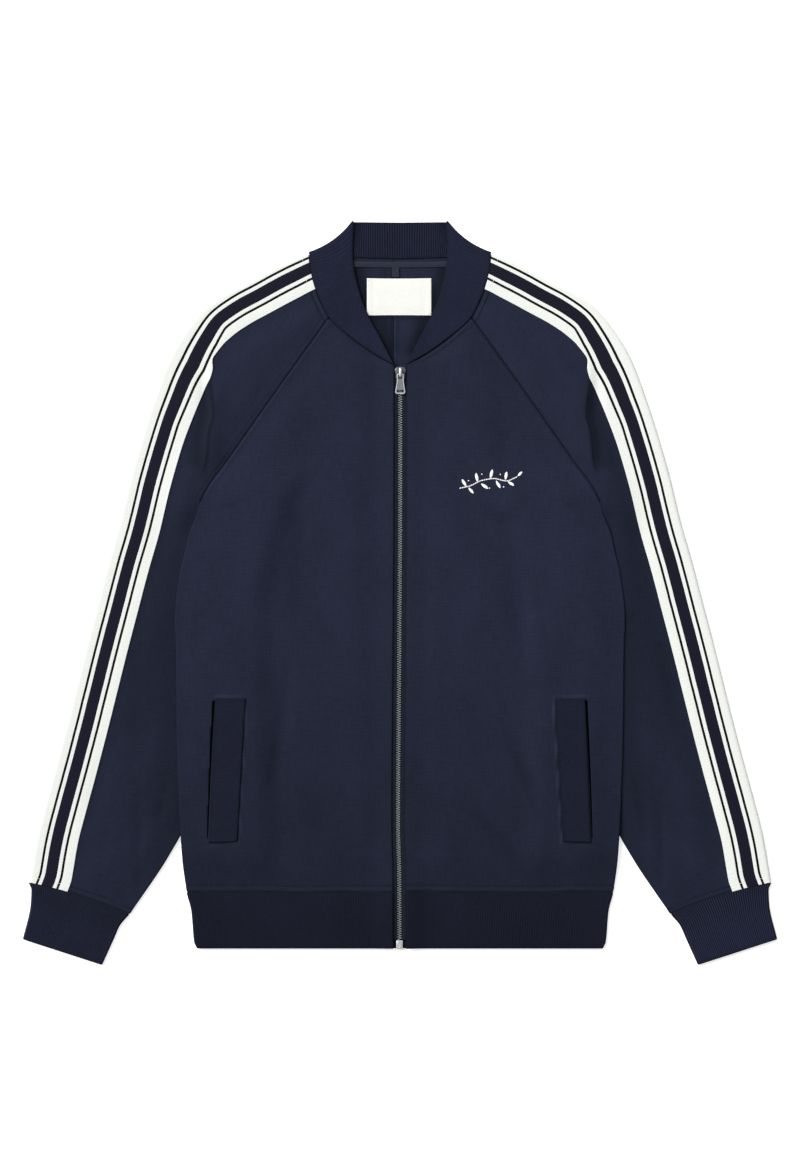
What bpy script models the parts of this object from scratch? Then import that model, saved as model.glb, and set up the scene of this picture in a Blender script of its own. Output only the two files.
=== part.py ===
# A zip-front track jacket with raglan sleeves, lying flat on its back.
#
# Frame: the surface it lies on is z = 0, +Y runs from the hem to the collar, +X is the wearer's left,
# and x = 0 is halfway across. Lengths below are in millimetres; the meshes are made in metres.
# Each cloth piece is a grid laid over its cut, bent where the piece is folded, and given a wall.
import math

import bmesh
import bpy
import numpy as np
from mathutils import Vector

MM = 0.001
SIDES = {"left": 1, "right": -1}

# Walls, and the room between them
CLOTH = 1.2          # double-knit jersey
RIB = 2.0            # collar and hem, rib folded double
CUFF_RIB = 1.8
TAPE = 0.8           # striped sleeve tape
ZIP_TAPE = 0.7
GAP = 0.3            # clear room between pieces that touch, at seams too
AIR = 1.0            # loose room between a garment's two layers
RIB_AIR = 0.3
ZIP_RISE = 2.0       # how far the fronts stand up along the zip
SEAM_ANGLE = math.radians(58)   # how far round a side fold each layer reaches before the seam

BACK_Z = CLOTH / 2                       # middle of the lower layer's wall
FRONT_Z = CLOTH + AIR + CLOTH / 2        # middle of the upper layer's wall
FOLD = (CLOTH + AIR) / 2                 # radius of a fold, to the middle of the wall
BODY_RISE = FRONT_Z + CLOTH / 2 + GAP    # how far the body rises over the sleeves tucked under it

# Heights along the body
HEM_END = -366.5
HEM_SEAM = -308.9
ARMPIT_Y = 94.1
NECK_FRONT_Y = 233.4
RAGLAN_TOP_Y = 283.0
NECK_BACK_Y = 343.0
BODY_ROWS = (HEM_SEAM + GAP / 2, -290, -262, -190, -120, -60, 0, 39, 59.6, 76)
RAGLAN_ROWS = (ARMPIT_Y, 107.9, 127.7, 147.5, 167.3, 194.4, 216, NECK_FRONT_Y, 247, 262, RAGLAN_TOP_Y)
BACK_ROWS = (ARMPIT_Y, 107.9, 127.7, 147.5, 194.4, 240, 290, NECK_BACK_Y - GAP / 2)

# Half width of the body at its side folds, the hem rib included
SIDE = {
    "y":    (HEM_END, -357, -327, HEM_SEAM, -275, -222, -140, -60, -28, 18, 39, 59.6, 76, ARMPIT_Y),
    "half": (210.8, 212.2, 214.8, 219.5, 224.1, 227.2, 229.9, 230.6, 231.8, 227.1, 222, 217.5, 211, 205.1),
}
# Front raglan seam, from the armpit to the neck
RAGLAN = {
    "y": (ARMPIT_Y, 107.9, 132.8, 167.3, 216, RAGLAN_TOP_Y),
    "x": (205.1, 198.2, 180.3, 156.1, 121.8, 73.6),
}
# Front neck seam, from the zip to the top of the raglan seam
NECK = {
    "y": (NECK_FRONT_Y, 247, 262, RAGLAN_TOP_Y),
    "x": (5.8, 29.5, 50.3, 73.6),
}
SHOULDER = (94.9, 350.0)                 # where neck seam, sleeve and collar fold meet
NECK_BULGE = 4.0                         # how far the neck seam swings out beside the sleeve
BACK_RAGLAN_TOP = (62.0, 345.0)
ARMPIT_ROOM = 0.4                        # the sleeve leans as it dives under the body here
CENTRE_BACK_X = -6.5                     # the back lies a little to one side of the zip

# Sleeve above the armpit: its outer edge opposite each row of the raglan seam, neck first
SHOULDER_LINE = {
    "x": (95, 115, 133, 155, 178, 200, 220, 237.3, 254.2, 267.4, 279),
    "y": (350, 341.2, 332.2, 320.5, 309, 294, 270.5, 242.2, 198.2, 157, 115.7),
}
# Sleeve below the armpit: underarm fold and outer edge of each row, ending at the cuff seam
SLEEVE = {
    "under_x": (212.3, 186, 180, 177, 180, 187, 199, 218, 241, 278.5),
    "under_y": (76, 49, 2, -45, -92, -140, -188, -234, -275.6, -331),
    "outer_x": (289, 300.8, 311.6, 322.4, 332.7, 343, 353.8, 365, 374, 382.3),
    "outer_y": (74.1, 32.9, -8.3, -49.5, -90.7, -131.9, -173.1, -214.3, -250, -298.2),
}
# The soft fold that drops from the shoulder to the armpit
SHOULDER_FOLD = {"x": (190, 193, 191, 195), "y": (245, 206, 183, 155)}
SHOULDER_FOLD_RISE = 2.2
SHOULDER_FOLD_WIDTH = 12.0

TAPE_WIDTH = 43.6                        # what shows of the striped tape
TAPE_COLUMNS = 4
# What shows of it beside the neck, where its outer edge goes over the shoulder, and past its point
TAPE_SHOWS = {"row": (0, 5, 6, 7, 8, 9), "width": (38.6, 41.0, 39.6, 48.0, 45.6, TAPE_WIDTH)}

CUFF_SEAM_BOW = 3.0                      # how far the cuff seam bows up the sleeve
# Cuff: its two folds in each row, cuff seam first
CUFF = {
    "outer_x": (382.3, 379.1, 379.6, 388.0), "outer_y": (-298.2, -306, -319, -357.1),
    "inner_x": (278.5, 288.5, 293.8, 306.9), "inner_y": (-331.0, -342.6, -354.4, -383.4),
}

CUFF_COLUMNS = 6
CUFF_GAP = 0.7                           # the cuff's first loop tilts, so its seam has more room

# Collar, front half: free edge opposite each point of the neck seam, and the folded side
COLLAR_EDGE = {
    "x": (8.4, 21.5, 30.5, 39.5, 44.5, 47.2, 48.4, 48.8),
    "y": (238.7, 264.5, 281, 302.5, 320.5, 334, 350, 383),
}
COLLAR_TOP_MID_Y = 380.8
NECK_SHARES = (0.0, 0.3, 0.55, 0.78, 1.0)    # stations beside the sleeve, front to shoulder

NECK_TAPE = {"half": 66.0, "top": 341.7, "width": 6.0, "thick": 0.5, "dip": 1.5}
HANGER = {"x": -4.5, "top": 333.9, "width": 7.3, "length": 10.0, "thick": 0.9}
LABEL = {"x": -0.9, "top": 323.0, "width": 66.3, "height": 37.7, "thick": 0.4}

# Pocket welt: corners on the wearer's left, top inner first, and the slit along its outer edge
WELT = {"top_in": (158.9, -109.7), "top_out": (189.9, -108.7),
        "low_in": (167.3, -255.7), "low_out": (196.2, -256.8), "thick": 1.2}
SLIT = {"top": (191.3, -111.6), "low": (197.5, -252.3), "width": 2.2}

# Zip
TEETH = {"half": 2.15, "thick": 1.8, "z": 3.6, "top": 219.2, "low": -357.6}
ZIP_TAPE_EDGE = 2.45
FRONT_EDGE = 6.5                         # front edge to the middle of the zip
ZIP_TAPE_REACH = 14.0
RISE_REACH = 30.0                        # the fronts lie down again this far from the zip
ZIP_DRIFT = {"y": (HEM_END, -290, -240, -60, 100, NECK_FRONT_Y), "x": (-0.5, -0.8, -2.0, -0.8, 0.2, 0.3)}
ZIP_BOX = {"width": 6.8, "length": 9.0, "thick": 2.4, "top": -358.0}
# Slider plates: half width in each row, mouth first
SLIDER = {"y": (219.5, 224.0, 228.7, 231.0, 231.8), "half": (4.6, 4.7, 5.8, 4.2, 2.6)}
SLIDER_PLATE = 0.9
SLIDER_LOW_Z = 1.6
SLIDER_TOP_Z = 4.8
BAIL = {"width": 3.5, "top": 231.3, "low": 221.2, "thick": 1.0, "rise": 3.2}
PULL_AXIS = (224.0, 6.85)                # y and z of the pull's cross bar
PULL_TILT = math.radians(4)              # the tab's end lies down on the teeth
PULL_THICK = 1.2
# Pull tab: half width at each distance from the axis
PULL = {"reach": (-0.6, 1.5, 7.0, 15.5, 18.6, 20.0), "half": (4.2, 4.2, 3.9, 4.9, 5.05, 3.9)}
PULL_WINDOW = {"near": 0.6, "far": 4.6, "half": 2.35}
PULL_SLOT = {"near": 15.9, "far": 18.2, "half": 3.3}

COLOURS = {
    "jersey": ((0.020, 0.024, 0.045), 0.85, 0.0),
    "rib": ((0.012, 0.014, 0.027), 0.9, 0.0),
    "striped_tape": ((0.86, 0.87, 0.82), 0.7, 0.0),
    "neck_tape": ((0.022, 0.027, 0.050), 0.8, 0.0),
    "label": ((0.90, 0.88, 0.80), 0.6, 0.0),
    "zip_tape": ((0.008, 0.009, 0.016), 0.8, 0.0),
    "zip_metal": ((0.42, 0.43, 0.44), 0.4, 1.0),
}


# ---------------------------------------------------------------- small helpers

def ease(t):
    """0 to 1 with a soft start and end."""
    t = min(max(t, 0.0), 1.0)
    return t * t * (3 - 2 * t)


def side_x(y):
    return float(np.interp(y, SIDE["y"], SIDE["half"]))


def raglan_x(y):
    return float(np.interp(y, RAGLAN["y"], RAGLAN["x"]))


def back_raglan_x(y):
    share = (BACK_RAGLAN_TOP[1] - y) / (BACK_RAGLAN_TOP[1] - ARMPIT_Y)
    return BACK_RAGLAN_TOP[0] + share * (side_x(ARMPIT_Y) - BACK_RAGLAN_TOP[0])


def neck_x(y):
    return float(np.interp(y, NECK["y"], NECK["x"]))


def zip_x(y):
    return float(np.interp(y, ZIP_DRIFT["y"], ZIP_DRIFT["x"]))


def zip_rise(x):
    """How far a front piece stands up at this distance from the middle of the zip."""
    return ZIP_RISE * (1 - ease((x - FRONT_EDGE) / (RISE_REACH - FRONT_EDGE)))


def edge_shift(line, y, gap=GAP / 2):
    """Shift in x that moves a seam by half the gap, square to the seam."""
    slope = (line(y + 1) - line(y - 1)) / 2
    return gap * math.hypot(1, slope)


def raise_along(y):
    """Share of the rise over the tucked sleeves, by height on the body."""
    if y > ARMPIT_Y:
        return 1 - ease((y - ARMPIT_Y) / 50)
    return ease((y + 302) / 40)


def body_rise(from_side, y):
    """Rise of the body over a tucked sleeve, by distance from the side fold."""
    return BODY_RISE * raise_along(y) * (1 - ease((from_side - 76) / 28))


def curl(centre, outward, z, down, amount):
    """Three points of an edge that bends through most of a quarter circle, from its end inwards."""
    points = []
    for angle in (SEAM_ANGLE, SEAM_ANGLE / 2, 0):
        out = FOLD * math.sin(angle)
        drop = FOLD * (1 - math.cos(angle)) * amount
        points.append((centre[0] + outward[0] * out, centre[1] + outward[1] * out, z - down * drop))
    return points


def material(slot):
    found = bpy.data.materials.get(slot)
    if found:
        return found
    colour, roughness, metallic = COLOURS[slot]
    made = bpy.data.materials.new(slot)
    made.use_nodes = True
    shader = made.node_tree.nodes["Principled BSDF"]
    shader.inputs["Base Color"].default_value = (*colour, 1)
    shader.inputs["Roughness"].default_value = roughness
    shader.inputs["Metallic"].default_value = metallic
    made.diffuse_color = (*colour, 1)
    return made


def add_object(name, data, slot, collection):
    """Put a mesh or curve in a collection, with a material of its own."""
    piece = bpy.data.objects.new(name, data)
    collection.objects.link(piece)
    own = material(slot).copy()
    own.name = name
    data.materials.append(own)
    return piece


def add_shape(name, shape, slot, collection):
    """Turn a bmesh into an object."""
    mesh = bpy.data.meshes.new(name)
    shape.to_mesh(mesh)
    shape.free()
    return add_object(name, mesh, slot, collection)


def add_wall(piece, thick):
    wall = piece.modifiers.new("wall", "SOLIDIFY")
    wall.thickness = thick * MM
    wall.offset = 0
    wall.use_even_offset = True


def cloth(name, rows, thick, slot, collection):
    """A grid laid over rows of points on the middle of a wall, then given the wall's thickness."""
    shape = bmesh.new()
    bmesh.ops.create_grid(shape, x_segments=len(rows[0]) - 1, y_segments=len(rows) - 1, size=1)
    shape.verts.ensure_lookup_table()
    points = [point for row in rows for point in row]
    for vert, point in zip(shape.verts, points):
        vert.co = Vector(point) * MM
    piece = add_shape(name, shape, slot, collection)
    add_wall(piece, thick)
    return piece


def ring(name, rows, thick, slot, collection):
    """A closed tube through rows of points on the middle of its wall."""
    shape = bmesh.new()
    loops = [[shape.verts.new(Vector(point) * MM) for point in row] for row in rows]
    for low, high in zip(loops, loops[1:]):
        for i in range(len(low)):
            j = (i + 1) % len(low)
            shape.faces.new((low[i], low[j], high[j], high[i]))
    piece = add_shape(name, shape, slot, collection)
    add_wall(piece, thick)
    return piece


def plate(name, outlines, thick, slot, collection):
    """A flat plate: a filled 2D curve of one outline and its holes, extruded both ways."""
    flat = bpy.data.curves.new(name, "CURVE")
    flat.dimensions = "2D"
    flat.fill_mode = "BOTH"
    flat.extrude = thick / 2 * MM
    for outline in outlines:
        spline = flat.splines.new("POLY")
        spline.points.add(len(outline) - 1)
        spline.use_cyclic_u = True
        for point, (x, y) in zip(spline.points, outline):
            point.co = (x * MM, y * MM, 0, 1)
    piece = add_object(name, flat, slot, collection)
    weld = piece.modifiers.new("caps", "WELD")
    weld.merge_threshold = 0.00001
    return piece


def box(name, low, high, slot, collection):
    shape = bmesh.new()
    bmesh.ops.create_cube(shape, size=1)
    size = [(b - a) * MM for a, b in zip(low, high)]
    bmesh.ops.scale(shape, vec=size, verts=shape.verts)
    middle = Vector([(a + b) / 2 * MM for a, b in zip(low, high)])
    bmesh.ops.translate(shape, vec=middle, verts=shape.verts)
    return add_shape(name, shape, slot, collection)


def prism(name, outline, push, slot, collection):
    """An outline of points filled and pushed out into a solid."""
    shape = bmesh.new()
    face = shape.faces.new([shape.verts.new(Vector(point) * MM) for point in outline])
    grown = bmesh.ops.extrude_face_region(shape, geom=[face])["geom"]
    far = [item for item in grown if isinstance(item, bmesh.types.BMVert)]
    bmesh.ops.translate(shape, vec=Vector(push) * MM, verts=far)
    bmesh.ops.recalc_face_normals(shape, faces=shape.faces)
    return add_shape(name, shape, slot, collection)


# ---------------------------------------------------------------- body panels

def front_row(y, sign):
    """One row across a front, from the zip or neck out to the side fold or raglan seam."""
    if y <= NECK_FRONT_Y:
        inner = FRONT_EDGE + sign * zip_x(y)
    else:
        inner = neck_x(y) + edge_shift(neck_x, y)
    if y >= ARMPIT_Y:
        outer = raglan_x(y) - edge_shift(raglan_x, y) - FOLD * math.sin(SEAM_ANGLE)
        bent = 0.0
    else:
        outer = side_x(y) - FOLD - CLOTH / 2
        bent = 1.0
    squeeze = min(1.0, (outer - inner) / 185)
    near = [inner + squeeze * step for step in (0, ZIP_TAPE_REACH - FRONT_EDGE, RISE_REACH - FRONT_EDGE)]
    far = [outer - squeeze * step for step in (104, 76, 38)]
    between = [near[-1] + (far[0] - near[-1]) * share for share in (0.33, 0.67)]
    row = []
    for x in near + between + far:
        rise = zip_rise(x - sign * zip_x(y)) + body_rise(outer - x, y)
        row.append((sign * x, y, FRONT_Z + rise))
    end = curl((sign * outer, y), (sign, 0), FRONT_Z + body_rise(0, y), 1, bent)
    return row + end[::-1]


def back_row(y, sign):
    """One row across half of the back, from the centre-back seam out. The top row leans up."""
    inner = sign * CENTRE_BACK_X + GAP / 2
    lean = BACK_RAGLAN_TOP[1] - NECK_BACK_Y if y > 300 else 0
    if y >= ARMPIT_Y:
        seam_y = y + lean
        outer = back_raglan_x(seam_y) - edge_shift(back_raglan_x, y) - FOLD * math.sin(SEAM_ANGLE)
        bent = 0.0
    else:
        outer = side_x(y) - FOLD - CLOTH / 2
        bent = 1.0
    squeeze = min(1.0, (outer - inner) / 185)
    far = [outer - squeeze * step for step in (104, 76, 38)]
    row = []
    for x in [inner, (inner + far[0]) / 2] + far:
        here = y + lean * abs(x) / BACK_RAGLAN_TOP[0]
        row.append((sign * x, here, BACK_Z + body_rise(outer - x, y)))
    end = curl((sign * outer, y + lean), (sign, 0), BACK_Z + body_rise(0, y), -1, bent)
    return row + end[::-1]


def add_body(parts, cutters):
    for side, sign in SIDES.items():
        rows = [front_row(y, sign) for y in BODY_ROWS + RAGLAN_ROWS[:-1] + (RAGLAN_TOP_Y - 1.6,)]
        front = cloth(f"front_{side}", rows, CLOTH, "jersey", parts)
        cut_pocket_slit(front, side, sign, cutters)
        rows = [back_row(y, sign) for y in BODY_ROWS + BACK_ROWS]
        cloth(f"back_{side}", rows, CLOTH, "jersey", parts)


def cut_pocket_slit(front, side, sign, cutters):
    half = SLIT["width"] / 2
    low_z = FRONT_Z + BODY_RISE - CLOTH
    (top_x, top_y), (low_x, low_y) = SLIT["top"], SLIT["low"]
    outline = [(sign * (top_x - half), top_y, low_z), (sign * (top_x + half), top_y, low_z),
               (sign * (low_x + half), low_y, low_z), (sign * (low_x - half), low_y, low_z)]
    cutter = prism(f"slit_{side}", outline, (0, 0, 2 * CLOTH), "jersey", cutters)
    cut = front.modifiers.new("pocket slit", "BOOLEAN")
    cut.operation = "DIFFERENCE"
    cut.solver = "EXACT"
    cut.object = cutter


def add_pockets(parts):
    z = FRONT_Z + BODY_RISE + CLOTH / 2 + GAP + WELT["thick"] / 2
    for side, sign in SIDES.items():
        rows = []
        for share in (0, 0.25, 0.5, 0.75, 1):
            row = []
            for top, low in ((WELT["top_in"], WELT["low_in"]), (WELT["top_out"], WELT["low_out"])):
                x = top[0] + (low[0] - top[0]) * share
                y = top[1] + (low[1] - top[1]) * share
                row.append((sign * x, y, z))
            rows.append(row)
        cloth(f"pocket_welt_{side}", rows, WELT["thick"], "rib", parts)


# ---------------------------------------------------------------- sleeves

def shoulder_fold(x, y):
    """Height of the soft fold between shoulder and armpit."""
    best = 1e9
    line = list(zip(SHOULDER_FOLD["x"], SHOULDER_FOLD["y"]))
    for (ax, ay), (bx, by) in zip(line, line[1:]):
        along = (bx - ax, by - ay)
        share = ((x - ax) * along[0] + (y - ay) * along[1]) / (along[0] ** 2 + along[1] ** 2)
        share = min(max(share, 0.0), 1.0)
        best = min(best, math.hypot(x - ax - share * along[0], y - ay - share * along[1]))
    return SHOULDER_FOLD_RISE * math.exp(-((best / SHOULDER_FOLD_WIDTH) ** 2))


def neck_points(outwards):
    """The neck seam beside the sleeve, raglan seam first, moved outwards by the given distance."""
    start = Vector((NECK["x"][-1], RAGLAN_TOP_Y))
    end = Vector(SHOULDER)
    run = end - start
    square = Vector((run.y, -run.x)).normalized()
    points = []
    for share in NECK_SHARES:
        swing = NECK_BULGE * 4 * share * (1 - share)
        points.append(start + run * share + square * (swing + outwards))
    return points


def sleeve_rows():
    """Outer edge, front inner edge and back inner edge of each sleeve row on the wearer's left."""
    rows = []
    count = len(RAGLAN_ROWS) - 1
    for k, y in enumerate(reversed(RAGLAN_ROWS)):
        outer = Vector((SHOULDER_LINE["x"][k], SHOULDER_LINE["y"][k]))
        room = ARMPIT_ROOM if y == ARMPIT_Y else 0.0
        front = Vector((raglan_x(y) + edge_shift(raglan_x, y) + room, y))
        back_y = BACK_RAGLAN_TOP[1] + (ARMPIT_Y - BACK_RAGLAN_TOP[1]) * k / count
        back = Vector((back_raglan_x(back_y) + edge_shift(back_raglan_x, back_y), back_y))
        rows.append({"outer": outer, "front": front, "back": back, "bent": 0.0,
                     "front_rise": BODY_RISE * raise_along(y),
                     "back_rise": BODY_RISE * raise_along(back_y)})
    for k in range(len(SLEEVE["under_y"])):
        under = Vector((SLEEVE["under_x"][k], SLEEVE["under_y"][k]))
        outer = Vector((SLEEVE["outer_x"][k], SLEEVE["outer_y"][k]))
        rows.append({"outer": outer, "front": under, "back": under.copy(), "bent": 1.0,
                     "front_rise": 0.0, "back_rise": 0.0})
    for k, row in enumerate(rows):
        before = rows[max(k - 1, 0)]["outer"]
        after = rows[min(k + 1, len(rows) - 1)]["outer"]
        along = (after - before).normalized()
        row["inwards"] = Vector((along.y, -along.x))
        row["bow"] = 0.0
        row["tape"] = float(np.interp(k, TAPE_SHOWS["row"], TAPE_SHOWS["width"]))
    rows[-1]["inwards"] = (rows[-1]["front"] - rows[-1]["outer"]).normalized()
    rows[-1]["bow"] = CUFF_SEAM_BOW
    return rows


def bow_up(place, start, end, bow):
    """A point of the cuff seam, moved up the sleeve where the seam bows."""
    run = end - start
    share = (place - start).dot(run) / run.length_squared
    up = Vector((run.y, -run.x)).normalized()
    return place + up * bow * 4 * share * (1 - share)


def top_layer(row, first):
    """Points of a row's upper layer, from the inner edge out to the fold."""
    outward = (row["front"] - row["outer"]).normalized()
    centre = row["outer"] + row["inwards"] * (FOLD + CLOTH / 2 + GAP + TAPE)
    tape_edge = row["outer"] + row["inwards"] * row["tape"]
    inner = row["front"] - outward * FOLD * math.sin(SEAM_ANGLE)
    flat = [inner + (tape_edge - inner) * share for share in (0, 0.25, 0.5, 0.75)]
    flat += [tape_edge + (centre - tape_edge) * i / TAPE_COLUMNS for i in range(TAPE_COLUMNS + 1)]
    if first:
        ends = neck_points(GAP / 2)
        flat[:4] = [ends[0] + (ends[1] - ends[0]) * share for share in (0.06, 0.4, 0.7, 1.0)]
        flat[4:] = [ends[1] + (ends[2] - ends[1]) * 0.5, ends[2], ends[3], (ends[3] + ends[4]) / 2, centre]
    points = []
    for place in flat:
        place = bow_up(place, row["outer"], row["front"], row["bow"])
        reach = (place - row["front"]).length
        rise = row["front_rise"] * (1 - ease(reach / 60))
        points.append((place.x, place.y, FRONT_Z + rise + shoulder_fold(place.x, place.y)))
    edge_z = points[0][2]
    end = curl(flat[0], outward, edge_z, 1, row["bent"])
    return end[:2] + points, centre


def bottom_layer(row, centre):
    """Points of a row's lower layer, from the fold back to the inner edge."""
    outward = (row["back"] - row["outer"]).normalized()
    inner = row["back"] - outward * FOLD * math.sin(SEAM_ANGLE)
    points = []
    for share in (0, 0.33, 0.67, 1):
        place = centre + (inner - centre) * share
        reach = (place - row["back"]).length
        rise = row["back_rise"] * (1 - ease(reach / 60))
        points.append((place.x, place.y, BACK_Z + rise))
    end = curl(inner, outward, points[-1][2], -1, row["bent"])
    return points + end[:2][::-1]


def fold_points(centre, inwards, radius, degrees, low_z=BACK_Z):
    """Points round the outer fold at the given angles, 0 on top and 180 below."""
    points = []
    middle = low_z + FOLD
    for degree in degrees:
        angle = math.radians(degree)
        place = centre - inwards * radius * math.sin(angle)
        points.append((place.x, place.y, middle + radius * math.cos(angle)))
    return points


def mirrored(rows, sign):
    return [[(sign * x, y, z) for x, y, z in row] for row in rows]


def add_sleeves(parts):
    sleeve, tape = [], []
    rows = sleeve_rows()
    out = CLOTH / 2 + GAP + TAPE / 2
    for k, row in enumerate(rows):
        top, centre = top_layer(row, k == 0)
        arc = fold_points(centre, row["inwards"], FOLD, (45, 90, 135))
        sleeve.append(top + arc + bottom_layer(row, centre))
        on_top = [(x, y, z + out) for x, y, z in top[-TAPE_COLUMNS - 1:]]
        tape.append(on_top + fold_points(centre, row["inwards"], FOLD + out, (45, 85)))
    for side, sign in SIDES.items():
        cloth(f"sleeve_{side}", mirrored(sleeve, sign), CLOTH, "jersey", parts)
        cloth(f"sleeve_tape_{side}", mirrored(tape, sign), TAPE, "striped_tape", parts)
        add_cuff(side, sign, parts)


def add_cuff(side, sign, parts):
    """A flattened tube of rib."""
    radius = (CUFF_RIB + RIB_AIR) / 2
    rows = []
    for k in range(len(CUFF["outer_x"])):
        outer = Vector((CUFF["outer_x"][k], CUFF["outer_y"][k]))
        inner = Vector((CUFF["inner_x"][k], CUFF["inner_y"][k]))
        across = (inner - outer).normalized()
        bow = CUFF_SEAM_BOW if k == 0 else 0.0
        drop = Vector((-across.y, across.x)) * (CUFF_GAP if k == 0 else 0)
        a = outer + across * (radius + CUFF_RIB / 2) + drop
        b = inner - across * (radius + CUFF_RIB / 2) + drop
        middle = CUFF_RIB / 2 + radius
        row = []
        for share in np.linspace(0, 1, CUFF_COLUMNS + 1):
            place = bow_up(a + (b - a) * share, outer, inner, bow)
            row.append((sign * place.x, place.y, middle + radius))
        for degree in (45, 90, 135):
            angle = math.radians(degree)
            place = b + across * radius * math.sin(angle)
            row.append((sign * place.x, place.y, middle + radius * math.cos(angle)))
        for share in (1, 0.5, 0):
            place = a + (b - a) * share
            row.append((sign * place.x, place.y, middle - radius))
        for degree in (135, 90, 45):
            angle = math.radians(degree)
            place = a - across * radius * math.sin(angle)
            row.append((sign * place.x, place.y, middle + radius * math.cos(angle)))
        rows.append(row)
    ring(f"cuff_{side}", rows, CUFF_RIB, "rib", parts)


# ---------------------------------------------------------------- collar, hem and neck

def collar_half():
    """Seam and free-edge points from the zip round to the centre back, on the wearer's left."""
    seam = [Vector((neck_x(y) - edge_shift(neck_x, y), y)) for y in NECK["y"][:-1]]
    seam += neck_points(-GAP / 2)
    edge = [Vector(point) for point in zip(COLLAR_EDGE["x"], COLLAR_EDGE["y"])]
    return seam, edge


def add_collar(parts):
    seam, edge = collar_half()
    radius = (RIB + RIB_AIR) / 2
    low_z, high_z = RIB / 2, RIB / 2 + 2 * radius
    fold_run = (edge[-1] - seam[-1]).normalized()
    outward = Vector((fold_run.y, -fold_run.x))
    inset = outward * (radius + RIB / 2)
    shares = (0, 0.33, 0.67, 1)
    half = []
    for k, (a, b) in enumerate(zip(seam, edge)):
        if k == len(seam) - 1:
            a, b = a - inset, b - inset
        column = []
        for share in shares:
            place = a + (b - a) * share
            rise = zip_rise(place.x)
            column.append((place.x, place.y, high_z + rise))
        half.append(column)
    fold_a, fold_b = seam[-1] - inset, edge[-1] - inset
    for degree in (45, 90, 135, 180):
        angle = math.radians(degree)
        column = []
        for share in shares:
            place = fold_a + (fold_b - fold_a) * share + outward * radius * math.sin(angle)
            column.append((place.x, place.y, low_z + radius + radius * math.cos(angle)))
        half.append(column)
    for x in (BACK_RAGLAN_TOP[0], 30.0):
        base = NECK_BACK_Y + (BACK_RAGLAN_TOP[1] - NECK_BACK_Y) * x / BACK_RAGLAN_TOP[0] + GAP / 2
        top_x = min(x, edge[-1].x - inset.x - 4)
        top_y = COLLAR_TOP_MID_Y + (edge[-1].y - COLLAR_TOP_MID_Y) * top_x / edge[-1].x
        half.append([(x + (top_x - x) * s, base + (top_y - base) * s, low_z) for s in shares])
    middle = [(0, NECK_BACK_Y + GAP / 2 + (COLLAR_TOP_MID_Y - NECK_BACK_Y) * s, low_z) for s in shares]
    other = [[(-x, y, z) for x, y, z in column] for column in half]
    cloth("collar", half + [middle] + other[::-1], RIB, "rib", parts)


def add_hem(parts):
    """The hem rib, open at the zip and folded at both sides."""
    radius = (RIB + RIB_AIR) / 2
    low_z, high_z = RIB / 2, RIB / 2 + 2 * radius
    rows = []
    for y in (HEM_SEAM - GAP / 2, -327, -346, HEM_END):
        half = []
        fold = side_x(y) - radius - RIB / 2
        for x in (FRONT_EDGE, ZIP_TAPE_REACH, RISE_REACH, 120, fold):
            half.append((x, y, high_z + zip_rise(x)))
        for degree in (45, 90, 135):
            angle = math.radians(degree)
            half.append((fold + radius * math.sin(angle), y, low_z + radius * (1 + math.cos(angle))))
        half += [(fold, y, low_z), (110, y, low_z)]
        other = [(-x, y, z) for x, y, z in half]
        shift = zip_x(y)
        drift = [shift, shift, shift] + [0] * (len(half) - 3)
        half = [(x + d, y, z) for (x, y, z), d in zip(half, drift)]
        other = [(x + d, y, z) for (x, y, z), d in zip(other, drift)]
        rows.append(half + [(0, y, low_z)] + other[::-1])
    cloth("hem_rib", rows, RIB, "rib", parts)


def add_neck_trim(parts):
    z = CLOTH + GAP + NECK_TAPE["thick"] / 2
    rows = []
    for down in (0, NECK_TAPE["width"]):
        row = []
        for share in np.linspace(-1, 1, 9):
            dip = NECK_TAPE["dip"] * (1 - share * share)
            row.append((NECK_TAPE["half"] * share, NECK_TAPE["top"] - dip - down, z))
        rows.append(row)
    cloth("neck_tape", rows, NECK_TAPE["thick"], "neck_tape", parts)

    half, top = HANGER["width"] / 2, HANGER["top"]
    low_z = CLOTH + GAP
    box("hanger_loop", (HANGER["x"] - half, top - HANGER["length"], low_z),
        (HANGER["x"] + half, top, low_z + HANGER["thick"]), "neck_tape", parts)
    half = LABEL["width"] / 2
    box("neck_label", (LABEL["x"] - half, LABEL["top"] - LABEL["height"], low_z),
        (LABEL["x"] + half, LABEL["top"], low_z + LABEL["thick"]), "label", parts)


# ---------------------------------------------------------------- zip

def add_zip(parts, cutters):
    ys = [y for y in BODY_ROWS + RAGLAN_ROWS if y < NECK_FRONT_Y - 1]
    ends = [TEETH["low"], -345, -327] + ys + [NECK_FRONT_Y - 1.2]
    for side, sign in SIDES.items():
        rows = []
        for y in ends:
            row = []
            for x in (ZIP_TAPE_EDGE, FRONT_EDGE, ZIP_TAPE_REACH):
                z = FRONT_Z - CLOTH / 2 - GAP - ZIP_TAPE / 2 + zip_rise(x)
                row.append((sign * x + zip_x(y), y, z))
            rows.append(row)
        cloth(f"zip_tape_{side}", rows, ZIP_TAPE, "zip_tape", parts)
    rows = []
    for y in [TEETH["low"], -345, -327] + ys[:-1] + [TEETH["top"]]:
        rows.append([(side * TEETH["half"] + zip_x(y), y, TEETH["z"]) for side in (-1, 1)])
    cloth("zip_teeth", rows, TEETH["thick"], "zip_metal", parts)
    add_zip_box(parts)
    add_slider(parts, cutters)
    add_pull(parts)


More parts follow.
